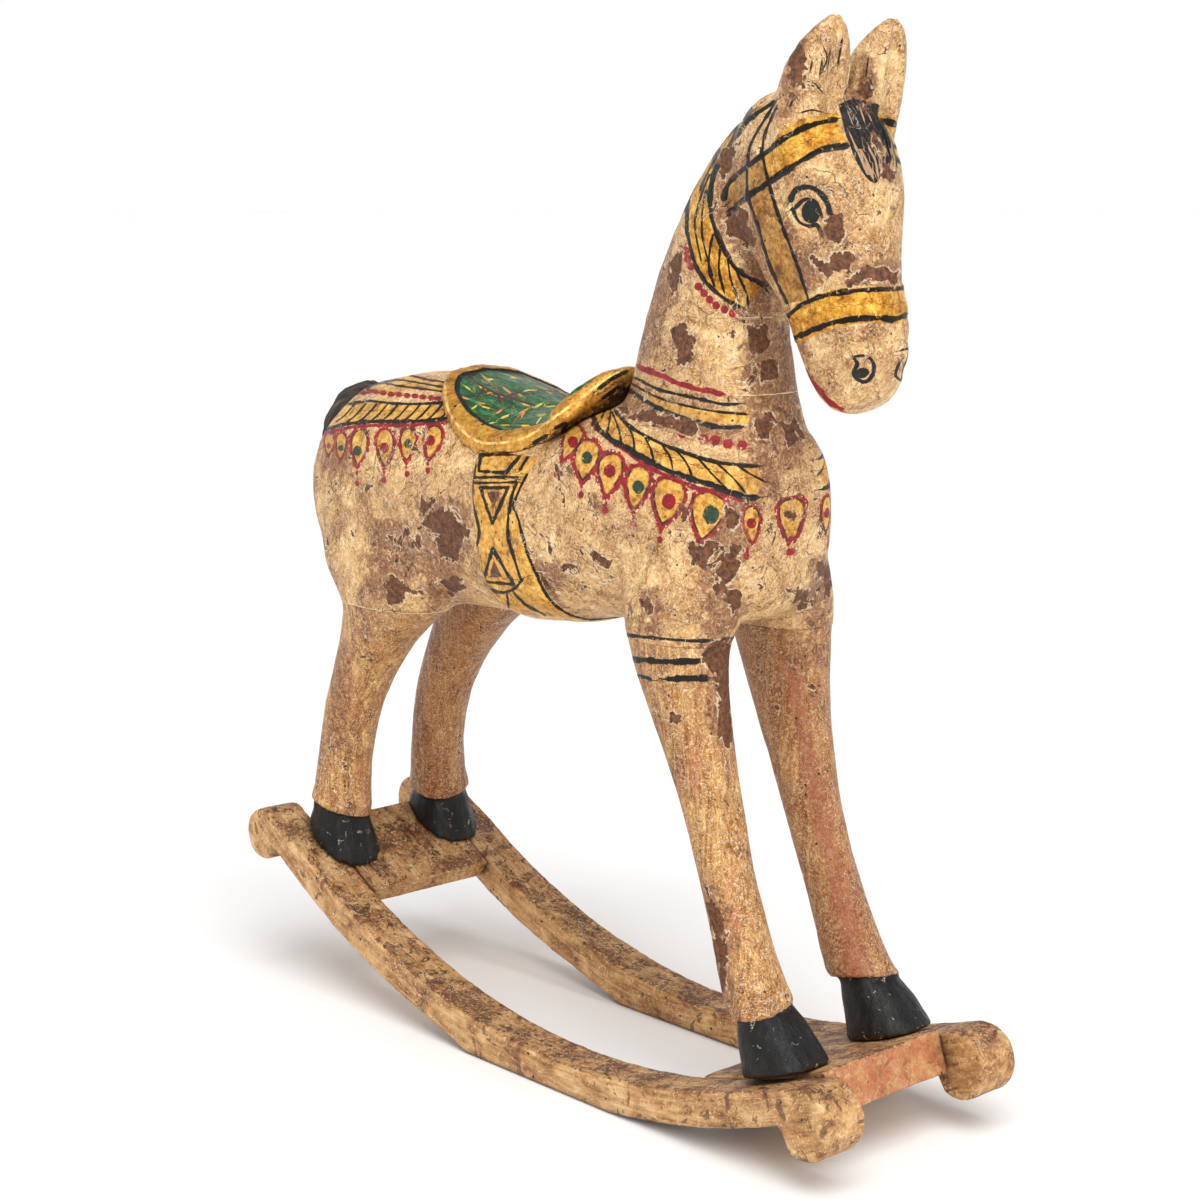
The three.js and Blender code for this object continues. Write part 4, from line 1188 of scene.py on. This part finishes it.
def neck(piece, material):
    place = drawn(coordinates(piece.data))
    push(piece, 0.3 * rough_noise(place, 14, 5))
    close_seams(piece, (NECK_SEAM, HEAD_SEAM))
    paint = Paint(piece)
    paint_body(paint)
    for patch in HEAD_BARE:
        paint.area("bare", patch, spots=paint.seen)
    throat = paint.spots[:, 0] > THROAT_FROM
    paint.level("seam", HEAD_SEAM, 1.4, throat)
    paint.level("seam", NECK_SEAM, 1.8, throat)
    paint.store()
    done(piece, "neck", material)


def leg(piece, node, seam, material):
    place = drawn(coordinates(piece.data))
    top, forward, inward = HOOF_TOPS[node.startswith("front")]
    middle = place[place[:, 2] < top + 4].mean(0)
    heights = place[:, 2] - top - forward * (place[:, 0] - middle[0])
    heights += inward * (np.abs(place[:, 1]) - abs(middle[1]))
    lip = 1.0 * step(heights, -1, 1) * step(heights, 14, 3)
    lip -= 1.3 * step(heights, 1, -1) * step(heights, -16, -3)
    push(piece, 0.35 * rough_noise(place * [1, 1, 0.4], 12, 6) + lip)
    close_seams(piece, (seam,))
    paint = Paint(piece)
    if node == "front_leg_right":
        for layer, points, width in LEG_LINES:
            paint.line(layer, points, width)
    paint.put("black", heights * PIXELS_PER_MILLIMETRE)
    paint.area("blush", LEG_BLUSH, spots=paint.only_seen)
    for zone in WORN:
        paint.area("worn", zone, spots=paint.seen)
    for patch in TORSO_BARE:
        paint.area("bare", patch, spots=paint.seen)
    paint.layers["bare"][heights < 3] = FAR
    paint.store()
    done(piece, node, material)


def in_head(place):
    """Down the head's axis, out from it, and to its left, in millimetres."""
    offset = place - HEAD_ORIGIN
    return offset @ HEAD_DOWN, offset @ HEAD_OUT, offset[:, 1]


def head(material):
    skin = fused("skin", ["head", "neck"], 1.3)
    place = drawn(coordinates(skin.data))
    down, out, side = in_head(place)
    on_neck = step(down, -30, -70) + step(out, -40, -75)
    ears = step(place[:, 2], 716, 730)
    strength = np.clip(0.3 + 0.7 * on_neck, 0, 1) * (1 - ears) + 0.03 * ears
    skin = smoothed(skin, 150, strength)

    def classify(centres):
        return np.where((centres[:, 2] > HEAD_SEAM) | in_muzzle(centres), 0, 1)

    piece = cut_pieces(skin, (HEAD_SEAM,), classify, ["carved_head"])["carved_head"]
    place = drawn(coordinates(piece.data))
    down, out, side = in_head(place)

    def mound(at_down, at_out, at_side, radius):
        """A soft bump on both sides of the head."""
        far = (down - at_down) ** 2 + (out - at_out) ** 2 + (np.abs(side) - at_side) ** 2
        return np.exp(-far / radius ** 2)

    relief = -2.4 * mound(76, 24, 42, 15) + 2.6 * mound(76, 24, 42, 8.5)
    relief += 1.6 * mound(60, 30, 40, 10) - 2.6 * mound(182, 1, 24, 5) + 1.2 * mound(176, 6, 22, 10)
    noseband = np.abs((down - 138) * math.cos(math.radians(12)) - out * math.sin(math.radians(12)))
    relief += 0.9 * step(noseband, 10.6, 9.4) * step(np.abs(side), 60, 50)
    strands = np.sin(side * 1.6 + 1.2 * np.sin(down * 0.12))
    fringe = step(out, 55, 60) * step(np.abs(side), 18, 14) * step(down, 72, 66) * step(down, -6, 2)
    relief += 0.5 * strands * fringe
    relief += 0.25 * rough_noise(place, 11, 9)
    push(piece, relief)
    close_seams(piece, (HEAD_SEAM,))
    paint = Paint(piece, round_the_back=False)
    paint_head(paint)
    throat = (paint.spots[:, 0] > THROAT_FROM) & ~in_muzzle(paint.points)
    paint.level("seam", HEAD_SEAM, 1.4, throat)
    paint.store()
    done(piece, "head", material)


def paint_head(paint):
    paint.area("gold", between(PANEL_IN, PANEL_OUT))
    paint.line("ink_a", PANEL_IN, 5.0)
    paint.line("ink_a", PANEL_OUT, 4.4)
    for number, strand in enumerate(PANEL_STRANDS):
        paint.line(("ink_b", "ink_c")[number % 2], strand, 2.4)
    for place in pairs(PANEL_DOTS):
        paint.dot("red_dot", place, 3.9, 4.3)
    paint.area("gold", between(BROWBAND_TOP, BROWBAND_LOW))
    paint.area("gold", BROWBAND_RIM)
    for layer in ("gold", "tan"):
        paint.area(layer, between(CHEEK_BACK, CHEEK_FRONT))
    paint.area("tan", [(724, 198), (747, 167), (765, 153), (768, 185), (747, 199), (729, 215)])
    paint.area("gold", FAR_BAND, spots=paint.only_seen)
    for line in FAR_BAND_LINES:
        paint.line("ink_c", line, 4.4, spots=paint.only_seen)
    for mark in EAR_MARKS:
        paint.line("ink_c", mark, 1.8, spots=paint.only_seen)
    paint.line("ink_b", CHEEK_BACK, 3.4)
    paint.line("ink_c", CHEEK_FRONT, 3.4)
    paint.line("ink_b", CHEEK_TOP_BACK, 3.2)
    paint.line("ink_c", CHEEK_TOP_FRONT, 3.0)
    paint.line("ink_a", BROWBAND_TOP, 5.6)
    paint.line("ink_a", BROWBAND_LOW, 6.0)
    paint.area("gold", NOSEBAND_GOLD)
    paint.line("ink_a", NOSEBAND_TOP, 5.4)
    paint.line("ink_a", NOSEBAND_LOW, 5.4)
    paint.line("ink_b", BROW, 5.6)
    paint.line("ink_a", UPPER_LID, 3.6)
    paint.line("ink_c", LOWER_LID, 3.6)
    paint.dot("black", *PUPIL)
    paint.line("ink_a", NOSTRIL, 3.4)
    paint.dot("black", *NOSTRIL_CORE)
    paint.line("ink_b", FAR_NOSTRIL, 3.2, spots=paint.only_seen)
    paint.line("red_line", MOUTH, 5.0)
    paint.area("black", FORELOCK, smooth=True)
    for streak, width in FORELOCK_STREAKS:
        paint.line("pale_line", streak, width)
    paint.line("red_line", RING_SMEAR, 5.0)
    for patch in HEAD_BARE:
        paint.area("bare", patch, spots=paint.seen)
    for zone in WORN:
        paint.area("worn", zone, spots=paint.seen)
    for dot in HEAD_BARE_DOTS:
        paint.dot("bare", *dot)


def runner(side, material):
    node = f"runner_{side}"
    piece = smoothed(fused(f"carved_{node}", [node], 2.0), 6)
    place = drawn(coordinates(piece.data))
    lift = step(place[:, 2], 4, 10)
    push(piece, (0.4 * rough_noise(place, 18, 11) + 0.2 * rough_noise(place, 6, 12, 2) - 0.7) * lift)
    lay_wood_fields(piece)
    done(piece, node, material)


def lay_wood_fields(piece, blush=0.0):
    """Grain that follows the arc of the runners, and a share for the faces that look up."""
    mesh = piece.data
    place = drawn(coordinates(mesh))
    from_centre = place - ARC_CENTRE
    reach = np.hypot(from_centre[:, 0], from_centre[:, 2])
    angle = np.arctan2(from_centre[:, 0], -from_centre[:, 2])
    lay_field(mesh, "grain", np.stack([angle * ARC_CENTRE[2], reach, place[:, 1]], 1))
    lay_field(mesh, "top", step(normals(mesh)[:, 2], 0.55, 0.8))
    forward = step(normals(mesh)[:, 0], 0.6, 0.9)
    lay_field(mesh, "blush", blush * forward)


def board(node, blush, material):
    piece = smoothed(fused(f"carved_{node}", [node], 1.6), 5)
    place = drawn(coordinates(piece.data))
    push(piece, 0.3 * rough_noise(place, 15, 13) - 0.3)
    lay_wood_fields(piece, blush)
    done(piece, node, material)


# Saddle: its outline seen from above, in millimetres of the drawing, from cantle to pommel
SADDLE_OUTLINE = [
    -202, 0, -198, 30, -180, 53, -150, 67, -115, 72, -82, 69, -54, 61, -36, 50, -22, 30, -18, 0]
SADDLE_RIM = 11.5
SADDLE_VEINS = [
    [471, 378.4, 484, 387, 497.6, 393.7, 515, 399, 532, 405], [484, 387, 478, 396],
    [497.6, 393.7, 500, 402], [505, 397, 520, 392]]
SADDLE_SLIVER = [558, 402, 575, 387, 598, 368, 612, 358, 609, 368, 598, 375, 578, 391]
# A painted highlight along the top edge of the saddle's rim, in light gold
SADDLE_EDGE_HIGHLIGHT = [
    445, 386, 447, 404, 453, 419, 471, 438, 492, 443.5, 524, 438, 545, 424, 566, 409, 598, 385, 619, 372]
# Painted shade under the pommel, laid on as black
POMMEL_SHADE = [548, 441, 566, 430, 586, 415, 606, 400, 630, 384, 636, 400, 606, 424, 570, 446]
POMMEL_MARKS = [
    [534, 443, 546, 436], [556, 428, 566, 424, 562, 434], [600, 388, 612, 379, 626, 372],
    [604, 398, 618, 388], [470, 376, 476, 372]]


def saddle(material):
    piece = smoothed(fused("carved_saddle", ["saddle"], 1.4), 12)
    place = drawn(coordinates(piece.data))
    push(piece, 0.2 * rough_noise(place, 10, 14))
    paint = Paint(piece)
    outline = curve(pairs(SADDLE_OUTLINE))
    seen_from_above = place[:, :2] * [1, -1] * np.where(place[:, 1:2] > 0, -1, 1)
    seen_from_above[:, 0] = place[:, 0]
    inward = area_distance(seen_from_above, np.vstack([outline, outline[::-1] * [1, -1]])) + SADDLE_RIM
    bar = -29 - place[:, 0] - 0.25 * np.abs(place[:, 1])
    inward = np.maximum(inward, -bar)
    faces_up = normals(piece.data)[:, 2] > 0.25
    paint.put("field", np.where(faces_up, inward * PIXELS_PER_MILLIMETRE, FAR))
    paint.put_line("ink_a", np.where(faces_up, inward / 1.9, FAR_LINE))
    paint.area("field", SADDLE_SLIVER)
    # Painted shade: black under the pommel
    paint.area("black", POMMEL_SHADE)
    # Painted highlight: a light gold line along the rim's top edge, carried in the seam layer
    paint.line("seam", SADDLE_EDGE_HIGHLIGHT, 2.6)
    for vein in SADDLE_VEINS:
        paint.line("red_line", vein, 2.4)
    for mark in POMMEL_MARKS:
        paint.line("ink_b", mark, 4.0)
    pick = np.random.default_rng(7)
    for row in range(5):
        for number in range(8):
            start = np.array([464 + number * 13 + pick.uniform(-8, 8), 382 + row * 10 + pick.uniform(-6, 6)])
            turn = pick.uniform(-1.0, 0.2) if row > 2 else pick.uniform(-0.3, 0.9)
            slant = np.array([math.cos(turn), math.sin(turn)]) * pick.uniform(3, 9)
            layer = ("gilt", "pale_line")[(row + number) % 2]
            paint.line(layer, [start, start + slant], pick.uniform(1.3, 2.2))
    paint.store()
    done(piece, "saddle", material)


def saddle_coat(name):
    finish = Finish(name)
    waver = finish.times(finish.minus(finish.noise(4, 3, 0.6), 0.5), 2.0)

    def line(layer):
        return finish.ramp(finish.math("ABSOLUTE", finish.field(layer)), 0.8, 1.2, 1, 0)

    shine = finish.blend(0.45, finish.noise(9, 5, 0.62, 0.7), finish.noise(2.6, 4, 0.65))
    gold = finish.colours(shine, [(0.34, linear(134, 82, 22)), (0.47, linear(190, 130, 42)),
                                  (0.56, linear(218, 160, 62)), (0.68, linear(244, 200, 104))])
    stroke = finish.vector("MULTIPLY", finish.place, (0.35, 1, 1))
    leaf = finish.colours(finish.noise(6, 5, 0.65, 0.8, stroke),
                          [(0.36, linear(4, 54, 26)), (0.5, linear(10, 84, 40)), (0.66, linear(52, 128, 76))])
    field = finish.ramp(finish.plus(finish.field("field"), waver), -0.4, 0.4, 1, 0)
    colour = finish.mix(field, gold, leaf)
    strokes = finish.times(line("gilt"), field)
    colour = finish.mix(strokes, colour, linear(222, 190, 70))
    strokes = finish.times(line("pale_line"), field)
    colour = finish.mix(strokes, colour, linear(216, 132, 66))
    colour = finish.mix(finish.times(line("red_line"), field), colour, linear(74, 26, 22))
    worn = finish.ramp(finish.noise(3.4, 5, 0.7, 0.6), 0.6, 0.66)
    # Painted highlight: on the saddle the seam layer is a light gold line along the rim's top edge
    edge = finish.times(line("seam"), finish.ramp(finish.noise(7, 3), 0.4, 0.55, 0.2, 0.9))
    colour = finish.mix(edge, colour, linear(252, 218, 128))
    # Painted shade: on the saddle the black layer is the shade under the pommel, drawn in ink with the real
    # ink lines
    rough_edge = finish.times(finish.minus(finish.noise(7, 4, 0.65), 0.5), 40.0)
    under = finish.ramp(finish.plus(finish.field("black"), rough_edge), -1.5, 1.5, 0.9, 0)
    lines = finish.most(finish.most(line("ink_a"), line("ink_b")), under)
    ink = finish.times(lines, finish.minus(1.0, worn))
    colour = finish.mix(ink, colour, INK)
    nails = finish.times(specks(finish, 12, 0.1, 0.55), finish.minus(1.0, field))
    smudge = finish.ramp(finish.noise(8, 5, 0.68, 1.2), 0.6, 0.66, 0, 0.8)
    smudge = finish.times(smudge, finish.minus(1.0, field))
    colour = finish.mix(finish.most(nails, smudge), colour, linear(58, 34, 16))
    # Painted shade: the saddle turns dark brown in creases and narrow places, following the occlusion node
    crease_shade = finish.ramp(finish.creases(20), 0.3, 0.8, 0.7, 0)
    colour = finish.mix(crease_shade, colour, linear(58, 34, 16))
    rough = finish.ramp(shine, 0.3, 0.7, 0.46, 0.28)
    metal = finish.blend(field, 0.45, 0.0)
    height = finish.minus(finish.noise(6, 5, 0.6, 0.5), finish.most(nails, ink))
    return finish.finish(colour, rough, height, 0.7, metal)


def tail(material):
    piece = smoothed(fused("carved_tail", ["tail"], 1.4), 60)
    mesh = piece.data
    place = drawn(coordinates(mesh))
    centre = np.array([-330, 0, 420])
    offset = place - centre
    angle = np.arctan2(offset[:, 2], -offset[:, 0])
    reach = np.hypot(offset[:, 0], offset[:, 2])
    grain = np.stack([angle * 70, reach, place[:, 1]], 1)
    strands = np.sin(place[:, 1] * 1.1 + reach * 0.7 + np.sin(angle * 5))
    strands += 0.5 * np.sin(place[:, 1] * 2.3 - reach)
    push(piece, 0.5 * strands - 0.4)
    lay_field(mesh, "grain", grain)
    done(piece, "tail", material)


add_camera()
add_stage()
cream = painted("worn_cream", cream_ground, BODY_GILT)
head_coat = painted("worn_head", cream_ground, HEAD_GILT, metal_share=0.5)
leg_wear = {"flaking": 0.67, "crack_share": 0.5, "gloss": 0.4, "sheen": 0.3}
# The left legs get a darker copy of the leg paint: painted shade, with a reddish tone of their own
leg_coats = {"right": painted("worn_leg", leg_ground, BODY_GILT, **leg_wear),
             "left": painted("worn_shaded_left_leg", shaded_left_leg_ground, BODY_GILT, **leg_wear)}
stand = bare_stand("bare_stand")
parts = body_parts()
torso(parts["carved_torso"], cream)
neck(parts["carved_neck"], cream)
for end, seam in (("front", FRONT_LEG_SEAM), ("hind", HIND_LEG_SEAM)):
    for side in ("right", "left"):
        leg(parts[f"carved_{end}_leg_{side}"], f"{end}_leg_{side}", seam, leg_coats[side])
head(head_coat)
saddle(saddle_coat("saddle_coat"))
tail(tail_coat("tail_coat"))
for side in ("right", "left"):
    runner(side, stand)
board("front_board", 1.0, stand)
board("rear_board", 0.0, stand)
